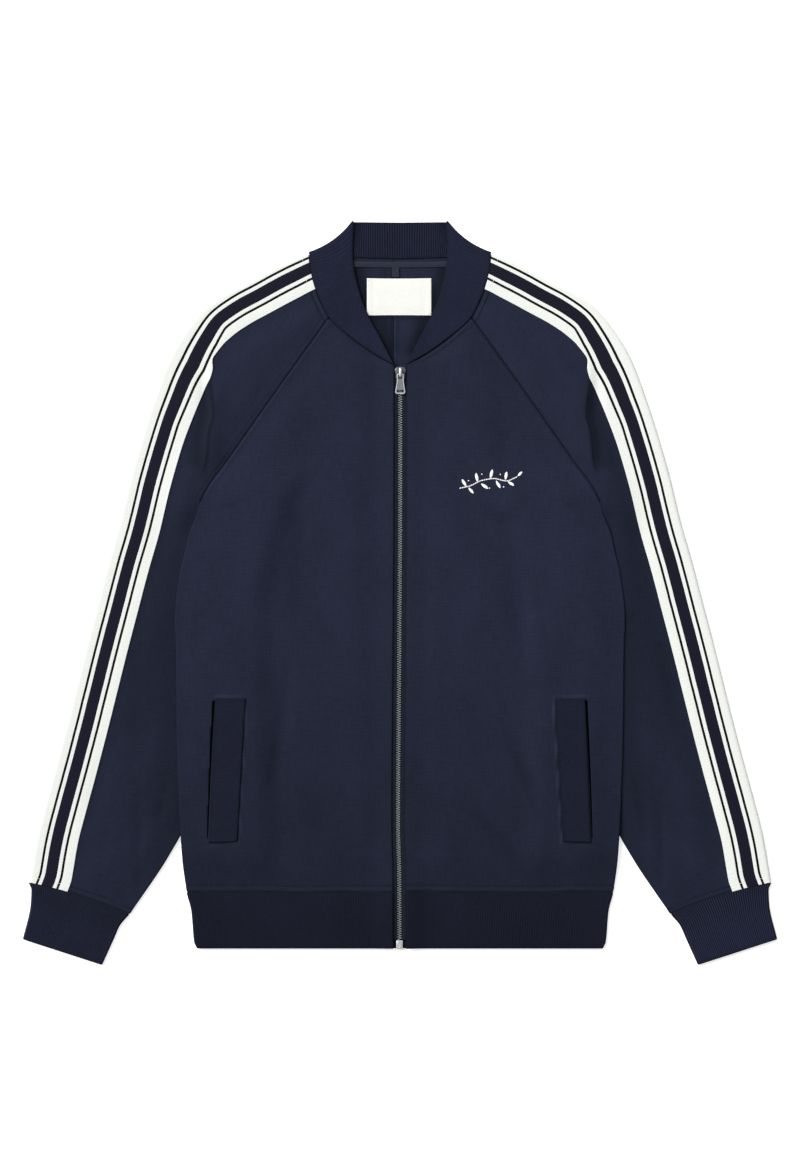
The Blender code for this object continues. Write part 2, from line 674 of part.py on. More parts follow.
def add_zip_box(parts):
    half = ZIP_BOX["width"] / 2
    x, z = zip_x(HEM_END), TEETH["z"]
    low = (x - half, ZIP_BOX["top"] - ZIP_BOX["length"], z - ZIP_BOX["thick"] / 2)
    high = (x + half, ZIP_BOX["top"], z + ZIP_BOX["thick"] / 2)
    box("zip_box", low, high, "zip_metal", parts)


def add_slider(parts, cutters):
    """Two plates joined by a post, with the bail arched over the top plate."""
    right = list(zip(SLIDER["half"], SLIDER["y"]))
    both = right + [(-x, y) for x, y in reversed(right)]
    middle = zip_x(NECK_FRONT_Y)
    up = (0, 0, SLIDER_PLATE)
    plates = {}
    for name, z, where in (("zip_slider", SLIDER_TOP_Z, parts), ("slider_low_plate", SLIDER_LOW_Z, cutters)):
        outline = [(x + middle, y, z) for x, y in both]
        plates[name] = prism(name, outline, up, "zip_metal", where)
    post = box("slider_post", (middle - 0.9, 227.5, SLIDER_LOW_Z + 0.2),
               (middle + 0.9, 231.2, SLIDER_TOP_Z + 0.2), "zip_metal", cutters)
    bail = add_bail(middle, cutters)
    for part in (plates["slider_low_plate"], post, bail):
        union = plates["zip_slider"].modifiers.new(part.name, "BOOLEAN")
        union.operation = "UNION"
        union.solver = "EXACT"
        union.object = part


def add_bail(middle, cutters):
    """A flat arch over the cross bar of the pull."""
    foot = SLIDER_TOP_Z + SLIDER_PLATE - 0.2
    top = SLIDER_TOP_Z + SLIDER_PLATE + BAIL["rise"]
    thick = BAIL["thick"]
    low, high = BAIL["low"], BAIL["top"]
    path = [(low, foot), (low, top - 1.2), (low + 1.4, top), (high - 3.0, top), (high, top - 2.2),
            (high, foot), (high - thick, foot), (high - thick, top - 2.5), (high - 3.3, top - thick),
            (low + 1.7, top - thick), (low + thick, top - 1.6), (low + thick, foot)]
    outline = [(middle - BAIL["width"] / 2, y, z) for y, z in path]
    return prism("slider_bail", outline, (BAIL["width"], 0, 0), "zip_metal", cutters)


def add_pull(parts):
    """The pull tab, a flat plate whose origin is on the axis of its cross bar."""
    right = [(half, -reach) for reach, half in zip(PULL["reach"], PULL["half"])]
    outline = right + [(-x, y) for x, y in reversed(right)]
    holes = []
    for hole in (PULL_WINDOW, PULL_SLOT):
        half, near, far = hole["half"], hole["near"], hole["far"]
        holes.append([(half, -near), (half, -far), (-half, -far), (-half, -near)])
    tab = plate("zip_pull", [outline] + holes, PULL_THICK, "zip_metal", parts)
    tab.location = Vector((zip_x(NECK_FRONT_Y), *PULL_AXIS)) * MM
    tab.rotation_euler.x = PULL_TILT


# ---------------------------------------------------------------- the jacket

def main():
    for piece in list(bpy.data.objects):
        bpy.data.objects.remove(piece)
    parts = bpy.data.collections.new("track_jacket")
    cutters = bpy.data.collections.new("cutters")
    for collection in (parts, cutters):
        bpy.context.scene.collection.children.link(collection)
    add_body(parts, cutters)
    add_pockets(parts)
    add_sleeves(parts)
    add_collar(parts)
    add_hem(parts)
    add_neck_trim(parts)
    add_zip(parts, cutters)
    for cutter in cutters.objects:
        cutter.hide_render = True
        cutter.display_type = "WIRE"


main()
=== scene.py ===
# A zip-front track jacket with raglan sleeves, laid flat on its back: its looks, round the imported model.
# Sizes are in millimetres until a mesh is made, and +X is the wearer's left.
import math

import bpy
import numpy as np
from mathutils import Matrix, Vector
from mathutils.bvhtree import BVHTree


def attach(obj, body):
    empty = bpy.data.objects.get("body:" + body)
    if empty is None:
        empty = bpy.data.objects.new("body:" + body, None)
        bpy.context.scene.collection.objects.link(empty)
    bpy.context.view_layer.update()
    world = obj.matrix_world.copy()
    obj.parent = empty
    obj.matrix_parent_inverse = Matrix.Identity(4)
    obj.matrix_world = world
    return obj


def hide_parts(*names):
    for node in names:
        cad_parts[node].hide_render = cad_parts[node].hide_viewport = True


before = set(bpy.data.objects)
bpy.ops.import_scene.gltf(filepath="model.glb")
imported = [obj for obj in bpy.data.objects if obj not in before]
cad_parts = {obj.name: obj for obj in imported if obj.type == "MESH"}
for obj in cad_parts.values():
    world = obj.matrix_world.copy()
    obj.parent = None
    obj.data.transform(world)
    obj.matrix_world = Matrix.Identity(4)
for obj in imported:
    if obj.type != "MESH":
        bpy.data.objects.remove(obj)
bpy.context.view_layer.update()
bpy.ops.object.select_all(action="DESELECT")
print("frame loaded:", len(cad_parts), "nodes")

mm = 0.001
sides = {"left": 1, "right": -1}
bodyName, pullName = "jacket", "pull_tab"

# What all the cloth pieces share: walls, layers and heights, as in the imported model
cloth = {
    "jersey": 1.2, "rib": 2.0, "cuffRib": 1.8, "tape": 0.8, "zipTape": 0.7,
    "gap": 0.3, "seamGap": 0.45, "closeGap": -0.15, "ribAir": 0.3,
    "backZ": 0.6, "frontZ": 2.8, "fold": 1.1, "bodyRise": 3.7,
    "zipRise": 2.0, "frontEdge": 6.5, "riseReach": 30.0,
    "hemEnd": -366.5, "hemSeam": -308.9, "armpit": 94.1, "neckFront": 233.4,
    "raglanTop": 283.0, "neckBack": 343.0, "seamAngle": math.radians(84),
    "edgeShade": 0.5,         # painted shade: how much darker the cloth's colour is where it turns into a seam
}
rimShares = np.array((0, 0.03, 0.13, 0.33, 0.65, 1.0))    # a rounded edge, in shares of half the wall


# ---- curves and small sums

def ease(t):
    t = np.clip(t, 0, 1)
    return t * t * (3 - 2 * t)


def bump(distance, width):
    return np.exp(-((distance / width) ** 2))


def arch(share):
    # 0 at both ends of a line and 1 in its middle
    return 4 * share * (1 - share)


def squareTo(run):
    # the direction to the right of a run
    return np.array((run[1], -run[0])) / np.hypot(*run)


def smoothLine(knots, values):
    # a curve through the points that never swings past them
    x, y = np.array(knots, float), np.array(values, float)
    step = np.diff(x)
    slope = np.diff(y) / step
    turn = np.zeros(len(x))
    turn[0], turn[-1] = slope[0], slope[-1]
    for i in range(1, len(x) - 1):
        if slope[i - 1] * slope[i] > 0:
            before, after = 2 * step[i] + step[i - 1], step[i] + 2 * step[i - 1]
            turn[i] = (before + after) / (before / slope[i - 1] + after / slope[i])

    def line(at):
        at = np.clip(at, x[0], x[-1])
        i = np.clip(np.searchsorted(x, at, side="right") - 1, 0, len(x) - 2)
        t = (at - x[i]) / step[i]
        start = (1 + 2 * t) * (1 - t) ** 2 * y[i] + t * (1 - t) ** 2 * step[i] * turn[i]
        end = t * t * (3 - 2 * t) * y[i + 1] + t * t * (t - 1) * step[i] * turn[i + 1]
        return start + end
    return line


def lineOf(table, knots, values):
    return smoothLine(table[knots], table[values])


def slopeOf(line, at):
    return line(at + 0.5) - line(at - 0.5)


def runOf(points):
    # the distance along a path at each of its points
    return np.concatenate([[0], np.cumsum(np.linalg.norm(np.diff(points, axis=0), axis=1))])


def runAcross(grid, axis):
    # the same along each row or column of a grid
    steps = np.diff(grid, axis=axis, prepend=grid.take([0], axis))
    return np.cumsum(np.linalg.norm(steps, axis=2), axis=axis)


def pathPoints(corners, spacing):
    # a smooth path through corners, as evenly spaced points
    corners = np.array(corners, float)
    along = runOf(corners)
    at = np.linspace(0, along[-1], max(2, int(round(along[-1] / spacing)) + 1))
    return np.stack([smoothLine(along, corners[:, k])(at) for k in range(corners.shape[1])], axis=1)


def nearPath(x, y, path):
    # distance to a path, how far along it the nearest place is (0 to 1), and on which side
    best = np.full(np.shape(x), 1e9)
    share, sideOf = np.zeros(np.shape(x)), np.zeros(np.shape(x))
    count = len(path) - 1
    for k in range(count):
        ax, ay = path[k]
        bx, by = path[k + 1]
        dx, dy = bx - ax, by - ay
        t = np.clip(((x - ax) * dx + (y - ay) * dy) / (dx * dx + dy * dy), 0, 1)
        away = np.hypot(x - ax - t * dx, y - ay - t * dy)
        closer = away < best
        best = np.where(closer, away, best)
        share = np.where(closer, (k + t) / count, share)
        sideOf = np.where(closer, np.sign((x - ax) * dy - (y - ay) * dx), sideOf)
    return best, share, sideOf


def fold(rise, width, *path, **shape):
    # a soft ridge, or a trough where rise is below 0; lean above 1 makes the side to the right of the path
    # fall off more slowly, and start and end are the shares of the path over which it swells and dies away
    return {"rise": rise, "width": width, "path": path, "lean": 1.0, "start": 0.35, "end": 0.35, **shape}


def creaseHeight(x, y, creases):
    # the height that folds give; each deepens towards the end of its path
    height = np.zeros(np.shape(x))
    for crease in creases:
        path = pathPoints(crease["path"], 14)
        low, high = path.min(axis=0) - 3 * crease["width"], path.max(axis=0) + 3 * crease["width"]
        inside = (x > low[0]) & (x < high[0]) & (y > low[1]) & (y < high[1])
        if not inside.any():
            continue
        away, share, sideOf = nearPath(x[inside], y[inside], path)
        taper = np.minimum(ease(share / crease["start"]), ease((1 - share) / crease["end"]))
        width = crease["width"] * np.where(sideOf > 0, crease["lean"], 1)
        height[inside] += share * crease["rise"] * taper * bump(away, width)
    return height


# ---- meshes

def spreadOut(width, near, far, count, nearStretch=1.0, farStretch=1.0):
    # places across a piece: crowded by its two edges and even between them
    near, far = np.array(near) * nearStretch, np.array(far) * farStretch
    squeeze = min(1, 0.8 * width / (near[-1] + far[-1]))
    near, far = near * squeeze, far * squeeze
    even = np.linspace(near[-1], width - far[-1], count - len(near) - len(far) + 2)[1:-1]
    return np.concatenate([near, even, (width - far)[::-1]])


def edgeSteps(thick, more=()):
    return np.concatenate([rimShares * thick / 2, np.array(more, float)])


def unit(vectors):
    return vectors / np.maximum(np.linalg.norm(vectors, axis=-1, keepdims=True), 1e-9)


def slopesOf(mid, ring):
    if ring:
        wide = np.concatenate([mid[:, -1:], mid, mid[:, :1]], axis=1)
        return np.gradient(wide, axis=1)[:, 1:-1], np.gradient(mid, axis=0)
    return np.gradient(mid, axis=1), np.gradient(mid, axis=0)


def edgeDistances(mid, ring=False):
    # how far each point is from the first and last column and from the first and last row
    across, along = slopesOf(mid, ring)
    sine = np.clip(np.linalg.norm(np.cross(unit(across), unit(along)), axis=2), 0.25, 1)
    u, v = runAcross(mid, 1), runAcross(mid, 0)
    far = np.full(u.shape, 1e6)
    sidesOf = (far, far) if ring else (u * sine[:, :1], (u[:, -1:] - u) * sine[:, -1:])
    return {"first": sidesOf[0], "last": sidesOf[1], "low": v * sine[:1], "high": (v[-1:] - v) * sine[-1:]}


def uvOf(across, along):
    # where each point lies on the cloth itself, before it is bent
    return np.stack(np.broadcast_arrays(across, along), axis=2)


def linked(name, mesh):
    mesh.polygons.foreach_set("use_smooth", np.ones(len(mesh.polygons), bool))
    mesh.update()
    piece = bpy.data.objects.new(name, mesh)
    bpy.context.scene.collection.objects.link(piece)
    return piece


def makeMesh(name, points, quads, cornerUv, shade, ribShare):
    # one closed mesh from points in millimetres and faces of four corners
    mesh = bpy.data.meshes.new(name)
    mesh.vertices.add(len(points))
    mesh.vertices.foreach_set("co", (points * mm).astype(np.float32).ravel())
    mesh.loops.add(quads.size)
    mesh.loops.foreach_set("vertex_index", quads.astype(np.int32).ravel())
    mesh.polygons.add(len(quads))
    mesh.polygons.foreach_set("loop_start", np.arange(0, quads.size, 4, dtype=np.int32))
    mesh.update(calc_edges=True)
    layer = mesh.uv_layers.new(name="cloth")
    layer.data.foreach_set("uv", (cornerUv * mm).astype(np.float32).ravel())
    for kind, values in (("shade", shade), ("ribs", ribShare)):
        mesh.attributes.new(kind, "FLOAT", "POINT").data.foreach_set("value", values.astype(np.float32))
    return linked(name, mesh)


def dress(piece, material=None, body=bodyName, node=None):
    # what a finished piece is made of, which body it rides on and which node it stands for
    if material:
        piece.data.materials.clear()
        piece.data.materials.append(material)
    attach(piece, body)
    if node:
        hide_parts(node)
    return piece


def fourCorners(index):
    # the four corners of each square of a grid, anticlockwise
    corners = (index[:-1, :-1], index[:-1, 1:], index[1:, 1:], index[1:, :-1])
    return np.stack([corner.ravel() for corner in corners], axis=1)


def thickSheet(name, node, mid, thick, uv, material, relief=0.0, ring=False, sign=1,
               bothFaces=False, shade=1.0, ribShare=1.0, shadeInside=False):
    # cloth laid on the middle of its wall, with rounded edges all round; relief stands on the outer face;
    # shade is painted shade, drawn darker below 1, and ribShare how far ribs part, which sets the painted
    # shade in their grooves
    relief, shade, ribShare = (np.broadcast_to(values, mid.shape[:2]) for values in (relief, shade, ribShare))
    if sign < 0:
        mid, uv, relief = mid[:, ::-1] * (-1, 1, 1), uv[:, ::-1], relief[:, ::-1]
        shade, ribShare = shade[:, ::-1], ribShare[:, ::-1]
    edges = edgeDistances(mid, ring)
    edge = np.minimum(np.minimum(edges["first"], edges["last"]), np.minimum(edges["low"], edges["high"]))
    half = thick / 2
    swell = half * np.sqrt(np.clip(1 - (1 - np.minimum(edge / half, 1)) ** 2, 0, 1))
    across, along = slopesOf(mid, ring)
    normal = unit(np.cross(across, along))
    fade = np.minimum(edge / half, 1)
    top = mid + normal * (swell + relief * fade)[..., None]
    low = mid - normal * (swell + relief * fade * bothFaces)[..., None]
    rows, columns = mid.shape[:2]
    border = np.zeros((rows, columns), bool)
    border[0], border[-1] = True, True
    if not ring:
        border[:, 0], border[:, -1] = True, True
    topIndex = np.arange(rows * columns).reshape(rows, columns)
    lowIndex = topIndex.copy()
    lowIndex[~border] = rows * columns + np.arange((~border).sum())
    if ring:
        topIndex = np.concatenate([topIndex, topIndex[:, :1]], axis=1)
        lowIndex = np.concatenate([lowIndex, lowIndex[:, :1]], axis=1)
    uvIndex = np.arange(uv.shape[0] * uv.shape[1]).reshape(uv.shape[:2])
    faces = np.concatenate([fourCorners(topIndex), fourCorners(lowIndex)[:, ::-1]])
    corners = np.concatenate([fourCorners(uvIndex), fourCorners(uvIndex)[:, ::-1]])
    points = np.concatenate([top.reshape(-1, 3), low[~border]])
    # painted shade: the colour is drawn darker where the cloth rounds off at its edges and seams
    edging = 1 - cloth["edgeShade"] * bump(edge, 0.9)
    outer = np.ones(shade.shape) if shadeInside else shade
    shade = np.concatenate([(outer * edging).ravel(), (shade * edging)[~border]])
    ribShare = np.concatenate([ribShare.ravel(), ribShare[~border]])
    piece = makeMesh(name, points, faces, uv.reshape(-1, 2)[corners.ravel()], shade, ribShare)
    return dress(piece, material, node=node)


def treeOf(*pieces):
    # what rays are dropped on
    points, faces = [], []
    for piece in pieces:
        start = len(points)
        points += [vert.co.copy() for vert in piece.data.vertices]
        faces += [[start + i for i in face.vertices] for face in piece.data.polygons]
    return BVHTree.FromPolygons(points, faces)


def heightOn(tree, x, y):
    # the height of what lies under a place
    hit = tree.ray_cast(Vector((x * mm, y * mm, 0.1)), Vector((0, 0, -1)))[0]
    return hit.z / mm if hit else 0.0


# ---- hard pieces

def pick(piece):
    bpy.ops.object.select_all(action="DESELECT")
    piece.select_set(True)
    bpy.context.view_layer.objects.active = piece


def inEditMode(piece, *steps):
    # operators run in turn on all of a piece
    pick(piece)
    bpy.ops.object.mode_set(mode="EDIT")
    bpy.ops.mesh.select_all(action="SELECT")
    for step in steps:
        step()
    bpy.ops.object.mode_set(mode="OBJECT")


def applied(piece, kind, **settings):
    modifier = piece.modifiers.new(kind.lower(), kind)
    for setting, value in settings.items():
        setattr(modifier, setting, value)
    bpy.context.view_layer.objects.active = piece
    bpy.ops.object.modifier_apply(modifier=modifier.name)


def prismFrom(name, outline, push, bevel=0.0):
    # an outline of points, filled, pushed out into a solid, and softened along its edges
    bpy.ops.mesh.primitive_circle_add(vertices=len(outline), fill_type="NGON")
    piece = bpy.context.object
    piece.name = name
    for vert, point in zip(piece.data.vertices, outline):
        vert.co = Vector(point) * mm
    inEditMode(piece,
               lambda: bpy.ops.mesh.extrude_region_move(TRANSFORM_OT_translate={"value": Vector(push) * mm}),
               lambda: bpy.ops.mesh.select_all(action="SELECT"),
               lambda: bpy.ops.mesh.normals_make_consistent(inside=False))
    if bevel:
        applied(piece, "BEVEL", width=bevel * mm, segments=2, limit_method="ANGLE",
                angle_limit=math.radians(50))
    return piece


def boxFrom(name, centre, size, bevel=0.0, segments=2):
    bpy.ops.mesh.primitive_cube_add(size=1)
    piece = bpy.context.object
    piece.name = name
    for vert in piece.data.vertices:
        vert.co = Vector([(c + v * s) * mm for c, v, s in zip(centre, vert.co, size)])
    if bevel:
        applied(piece, "BEVEL", width=bevel * mm, segments=segments)
    return piece


def joinTo(piece, *others, operation="UNION"):
    for other in others:
        applied(piece, "BOOLEAN", operation=operation, solver="EXACT", object=other, material_mode="TRANSFER")
        bpy.data.objects.remove(other)
    return piece


def smoothByAngle(piece, degrees=40):
    pick(piece)
    bpy.ops.object.shade_smooth_by_angle(angle=math.radians(degrees))


def manyCopies(name, template, moves, material, node=None):
    # copies of a small shape in one mesh; each move is a 3 by 3 turn and a place in millimetres
    points = np.array([vert.co for vert in template.data.vertices]) / mm
    faces = [list(face.vertices) for face in template.data.polygons]
    turns = np.array([turn for turn, place in moves])
    places = np.array([place for turn, place in moves])
    flipped = np.linalg.det(turns) < 0
    moved = np.einsum("nij,pj->npi", turns, points) + places[:, None]
    allFaces = []
    for k in range(len(moves)):
        for face in faces:
            ends = [k * len(points) + i for i in face]
            allFaces.append(ends[::-1] if flipped[k] else ends)
    mesh = bpy.data.meshes.new(name)
    mesh.from_pydata((moved.reshape(-1, 3) * mm).tolist(), [], allFaces)
    bpy.data.objects.remove(template)
    return dress(linked(name, mesh), material, node=node)


# ---- materials

def linear(hexColour):
    # an sRGB hex colour as the numbers a shader takes
    parts = [int(hexColour[i:i + 2], 16) / 255 for i in (1, 3, 5)]
    return (*[c / 12.92 if c <= 0.04045 else ((c + 0.055) / 1.055) ** 2.4 for c in parts], 1)


def addNode(tree, kind, inputs=None, **settings):
    # one node with its settings; an input is a value, or the socket or node that feeds it
    node = tree.nodes.new(kind)
    for setting, value in settings.items():
        setattr(node, setting, value)
    for socket, value in (inputs or {}).items():
        if isinstance(value, bpy.types.Node):
            value = value.outputs[0]
        if isinstance(value, bpy.types.NodeSocket):
            tree.links.new(value, node.inputs[socket])
        else:
            node.inputs[socket].default_value = value
    return node


def newMaterial(name, shaderInputs):
    material = bpy.data.materials.new(name)
    material.use_nodes = True
    tree = material.node_tree
    shader = tree.nodes["Principled BSDF"]
    for socket, value in shaderInputs.items():
        shader.inputs[socket].default_value = value
    return material, tree, shader


def noiseOn(tree, place, sizes, detail=2.0, roughness=0.5):
    # noise with cells of the given sizes in millimetres
    scale = [1 / (size * mm) for size in sizes]
    cells = addNode(tree, "ShaderNodeMapping", {"Vector": place, "Scale": scale})
    inputs = {"Vector": cells, "Scale": 1.0, "Detail": detail, "Roughness": roughness}
    return addNode(tree, "ShaderNodeTexNoise", inputs)


def solidNoise(tree, size, *detail):
    # noise through the whole of a hard piece or thread
    place = addNode(tree, "ShaderNodeTexCoord").outputs["Object"]
    return noiseOn(tree, place, (size, size, size), *detail)


def toneBetween(tree, value, low, high, dark, light):
    # a value between two limits, turned into a colour between two tones
    share = addNode(tree, "ShaderNodeMapRange", {"Value": value, "From Min": low, "From Max": high})
    inputs = {"Factor": share, 6: linear(dark), 7: linear(light)}
    return addNode(tree, "ShaderNodeMix", inputs, data_type="RGBA").outputs[2]


def finish(tree, shader, colour, height, distance):
    # a material's colour, and the fine relief that roughens it
    tree.links.new(colour, shader.inputs["Base Color"])
    relief = addNode(tree, "ShaderNodeBump", {"Height": height, "Distance": distance * mm, "Strength": 1.0})
    tree.links.new(relief.outputs[0], shader.inputs["Normal"])


rib = {"pitch": 2.5, "depth": 0.42}      # the ribs of the collar, hem, cuffs and welts


def knitMaterial(name, look):
    # knitted cloth: matt, with a soft bloom where it turns away, and streaks along wales and courses
    material, tree, shader = newMaterial(name, {
        "Roughness": look["roughness"], "Specular IOR Level": 0.12,
        "Sheen Weight": look["sheen"], "Sheen Roughness": 0.45, "Sheen Tint": linear(look["bloom"])})
    place = addNode(tree, "ShaderNodeUVMap", uv_map="cloth")
    wale, course = look["streak"]
    wales = noiseOn(tree, place, (wale, course, 1))
    courses = noiseOn(tree, place, (course, wale, 1))
    streaks = addNode(tree, "ShaderNodeMath", {0: wales, 1: courses})
    clouds = noiseOn(tree, place, (look["cloud"], look["cloud"] * 1.6, 1), 3.0)
    clouds = addNode(tree, "ShaderNodeMath", {0: clouds, 1: look["cloudShare"]}, operation="MULTIPLY")
    tone = addNode(tree, "ShaderNodeMath", {0: streaks, 1: clouds})
    middle = 1.0 + 0.5 * look["cloudShare"]
    colour = toneBetween(tree, tone, middle - 0.5, middle + 0.5, look["dark"], look["light"])
    # painted shade in the grooves between the ribs, as deep as the ribs attribute says
    if "groove" in look:
        ridge = addNode(tree, "ShaderNodeSeparateXYZ", {"Vector": place})
        for operation, by in (("MULTIPLY", math.pi / (rib["pitch"] * mm)), ("SINE", 0), ("ABSOLUTE", 0),
                              ("POWER", 0.9)):
            ridge = addNode(tree, "ShaderNodeMath", {0: ridge, 1: by}, operation=operation)
        parted = addNode(tree, "ShaderNodeAttribute", attribute_name="ribs").outputs["Fac"]
        grooveShade = addNode(tree, "ShaderNodeMath", {0: 1.0, 1: ridge}, operation="SUBTRACT")
        grooveShade = addNode(tree, "ShaderNodeMath", {0: grooveShade, 1: parted}, operation="MULTIPLY")
        inputs = {"Factor": grooveShade, 6: colour, 7: linear(look["groove"])}
        colour = addNode(tree, "ShaderNodeMix", inputs, data_type="RGBA").outputs[2]
    # painted shade: the colour is scaled by the shade attribute, darker in hollows, seams and creases
    paintedShade = addNode(tree, "ShaderNodeAttribute", attribute_name="shade").outputs["Fac"]
    shaded = addNode(tree, "ShaderNodeVectorMath", {0: colour, "Scale": paintedShade}, operation="SCALE")
    finish(tree, shader, shaded.outputs[0], streaks, look["bump"])
    return material


# Double-knit jersey of cotton and polyester: matt navy; its wales are 0.9 mm apart, too fine to show,
# so they are drawn as streaks 1.5 mm wide and 14 mm long
jerseyLook = {"dark": "#181b2b", "light": "#202538", "bloom": "#8f96b4", "roughness": 0.88, "sheen": 0.05,
              "streak": (1.5, 14), "cloud": 45, "cloudShare": 0.9, "bump": 0.25}
# Rib knit of the same yarn, one by one: its ribs are modelled, the purl wales sunk between them get painted
# shade, and the stitches, too fine to show, give a faint grain drawn 1.4 mm wide
ribLook = {"dark": "#191c2e", "light": "#23273e", "bloom": "#8f96b4", "roughness": 0.9, "sheen": 0.04,
           "streak": (1.4, 7), "cloud": 40, "cloudShare": 0.8, "bump": 0.2, "groove": "#0b0c14"}
jerseyKnit = knitMaterial("double_knit_jersey", jerseyLook)
ribKnit = knitMaterial("rib_knit", ribLook)

# Knitted braid of polyester in cream, navy and black: a slight gloss, and a shallow groove where two colours
# meet; its courses are under 1 mm apart, too fine to show, so they are drawn 1.4 mm long and 6 mm wide
braid = {"width": 45.1, "wobble": 0.5, "cream": "#dee0db", "navy": "#101120", "line": "#030305",
         "ends": (10.3, 12.7, 16.35, 28.3, 32.05, 34.5)}     # where each stripe ends, from the outer edge


def braidMaterial():
    material, tree, shader = newMaterial("striped_knit_braid", {
        "Roughness": 0.75, "Specular IOR Level": 0.12, "Sheen Weight": 0.03, "Sheen Roughness": 0.4})
    place = addNode(tree, "ShaderNodeUVMap", uv_map="cloth")
    split = addNode(tree, "ShaderNodeSeparateXYZ", {"Vector": place})
    wobble = addNode(tree, "ShaderNodeMath", {0: noiseOn(tree, place, (60, 25, 1)), 1: -0.5})
    wobble = addNode(tree, "ShaderNodeMath", {0: wobble, 1: braid["wobble"] * mm}, operation="MULTIPLY")
    across = addNode(tree, "ShaderNodeMath", {0: split, 1: wobble})
    share = addNode(tree, "ShaderNodeMath", {0: across, 1: 1 / (braid["width"] * mm)}, operation="MULTIPLY")
    ramp = addNode(tree, "ShaderNodeValToRGB", {"Fac": share})
    stripes = ramp.color_ramp
    stripes.interpolation = "CONSTANT"
    tones = ("cream", "line", "cream", "navy", "cream", "line", "cream")
    for end, tone in zip((0, *braid["ends"]), tones):
        stop = stripes.elements[0] if end == 0 else stripes.elements.new(end / braid["width"])
        stop.color = linear(braid[tone])
    stripes.elements.remove(stripes.elements[-1])
    grain = noiseOn(tree, place, (6, 1.4, 1))
    inputs = {"Value": grain, "From Min": 0.25, "From Max": 0.75, "To Min": 0.93, "To Max": 1.0}
    veil = addNode(tree, "ShaderNodeMapRange", inputs)
    shaded = addNode(tree, "ShaderNodeVectorMath", {0: ramp, "Scale": veil}, operation="SCALE")
    finish(tree, shader, shaded.outputs[0], grain, 0.25)
    return material


stripedBraid = braidMaterial()


def wovenMaterial(name, dark, light, roughness, wide, long, bumpHeight, gloss=0.3, sheen=0.0):
    # a weave of two sets of threads, drawn as fine noise along each
    material, tree, shader = newMaterial(name, {"Roughness": roughness, "Specular IOR Level": gloss,
                                                "Sheen Weight": sheen, "Sheen Roughness": 0.4})
    place = addNode(tree, "ShaderNodeUVMap", uv_map="cloth")
    threads, crossing = (noiseOn(tree, place, sizes) for sizes in ((wide, long, 1), (long, wide, 1)))
    both = addNode(tree, "ShaderNodeMath", {0: threads, 1: crossing})
    finish(tree, shader, toneBetween(tree, both, 0.6, 1.4, dark, light), both, bumpHeight)
    return material


# Herringbone cotton tape inside the neck: paler navy, matt; threads of 0.5 mm drawn 1 mm wide
cottonTape = wovenMaterial("cotton_neck_tape", "#161827", "#202436", 0.8, 1.0, 3.0, 0.2, sheen=0.05)
# Woven polyester satin: ivory, smooth, with a soft gloss along its fine threads, drawn 1 mm wide
satin = wovenMaterial("woven_satin_label", "#dcdcd6", "#e6e6e0", 0.42, 1.0, 9.0, 0.05, gloss=0.5)
# Woven polyester zip tape: navy, nearly black, matt, with a fine rib along it
zipWeave = wovenMaterial("woven_zip_tape", "#0f131c", "#1b202d", 0.85, 0.9, 5.0, 0.2, gloss=0.1)


def threadMaterial(name, dark, light, roughness, twistLong):
    # spun thread: a soft gloss, and a twist that shows as fine bands across it
    material, tree, shader = newMaterial(name, {"Roughness": roughness, "Specular IOR Level": 0.4,
                                                "Sheen Weight": 0.1, "Sheen Roughness": 0.4})
    twist = solidNoise(tree, twistLong)
    finish(tree, shader, toneBetween(tree, twist, 0.3, 0.7, dark, light), twist, 0.1)
    return material


# Polyester sewing thread, dyed to match the jersey; embroidery rayon, white with a silky gloss; the twist of
# both is finer than its bands of 0.5 and 0.6 mm
sewingThread = threadMaterial("navy_sewing_thread", "#0f111b", "#191c2a", 0.85, 0.6)
paleThread = threadMaterial("cream_sewing_thread", "#d9dad3", "#f1f1ea", 0.55, 0.6)
embroideryThread = threadMaterial("white_embroidery_rayon", "#e4e5e2", "#ffffff", 0.4, 0.5)


def metalMaterial(name, dark, light, rough, smooth, cloud):
    # plated zinc: cloudy wear in its colour and gloss
    material, tree, shader = newMaterial(name, {"Metallic": 1.0})
    wear = solidNoise(tree, cloud, 4.0, 0.6)
    tree.links.new(toneBetween(tree, wear, 0.3, 0.7, dark, light), shader.inputs["Base Color"])
    inputs = {"Value": wear, "From Min": 0.3, "From Max": 0.7, "To Min": rough, "To Max": smooth}
    tree.links.new(addNode(tree, "ShaderNodeMapRange", inputs).outputs[0], shader.inputs["Roughness"])
    return material


# Zinc die-casting with polished nickel plating: bright, with cloudy handling marks about 2 mm across
nickel = metalMaterial("polished_nickel", "#a9abae", "#d9dadd", 0.34, 0.18, 2.0)
# The same plating on the slider's plates, in a darker copy that paints shade, and rougher
shadedNickel = metalMaterial("nickel_painted_dark", "#434549", "#717377", 0.45, 0.28, 1.2)
# Nickel-plated brass wire, tumbled: an even satin grey for the teeth
satinNickel = metalMaterial("tumbled_nickel", "#979c9e", "#cacecf", 0.5, 0.38, 1.5)
# The nickel where it was left matt from the barrel, which looks nearly white
whiteNickel = metalMaterial("matt_nickel", "#c9cbcd", "#e6e7e8", 0.6, 0.5, 2.0)
print("materials made:", len(bpy.data.materials))


# ---- body panels

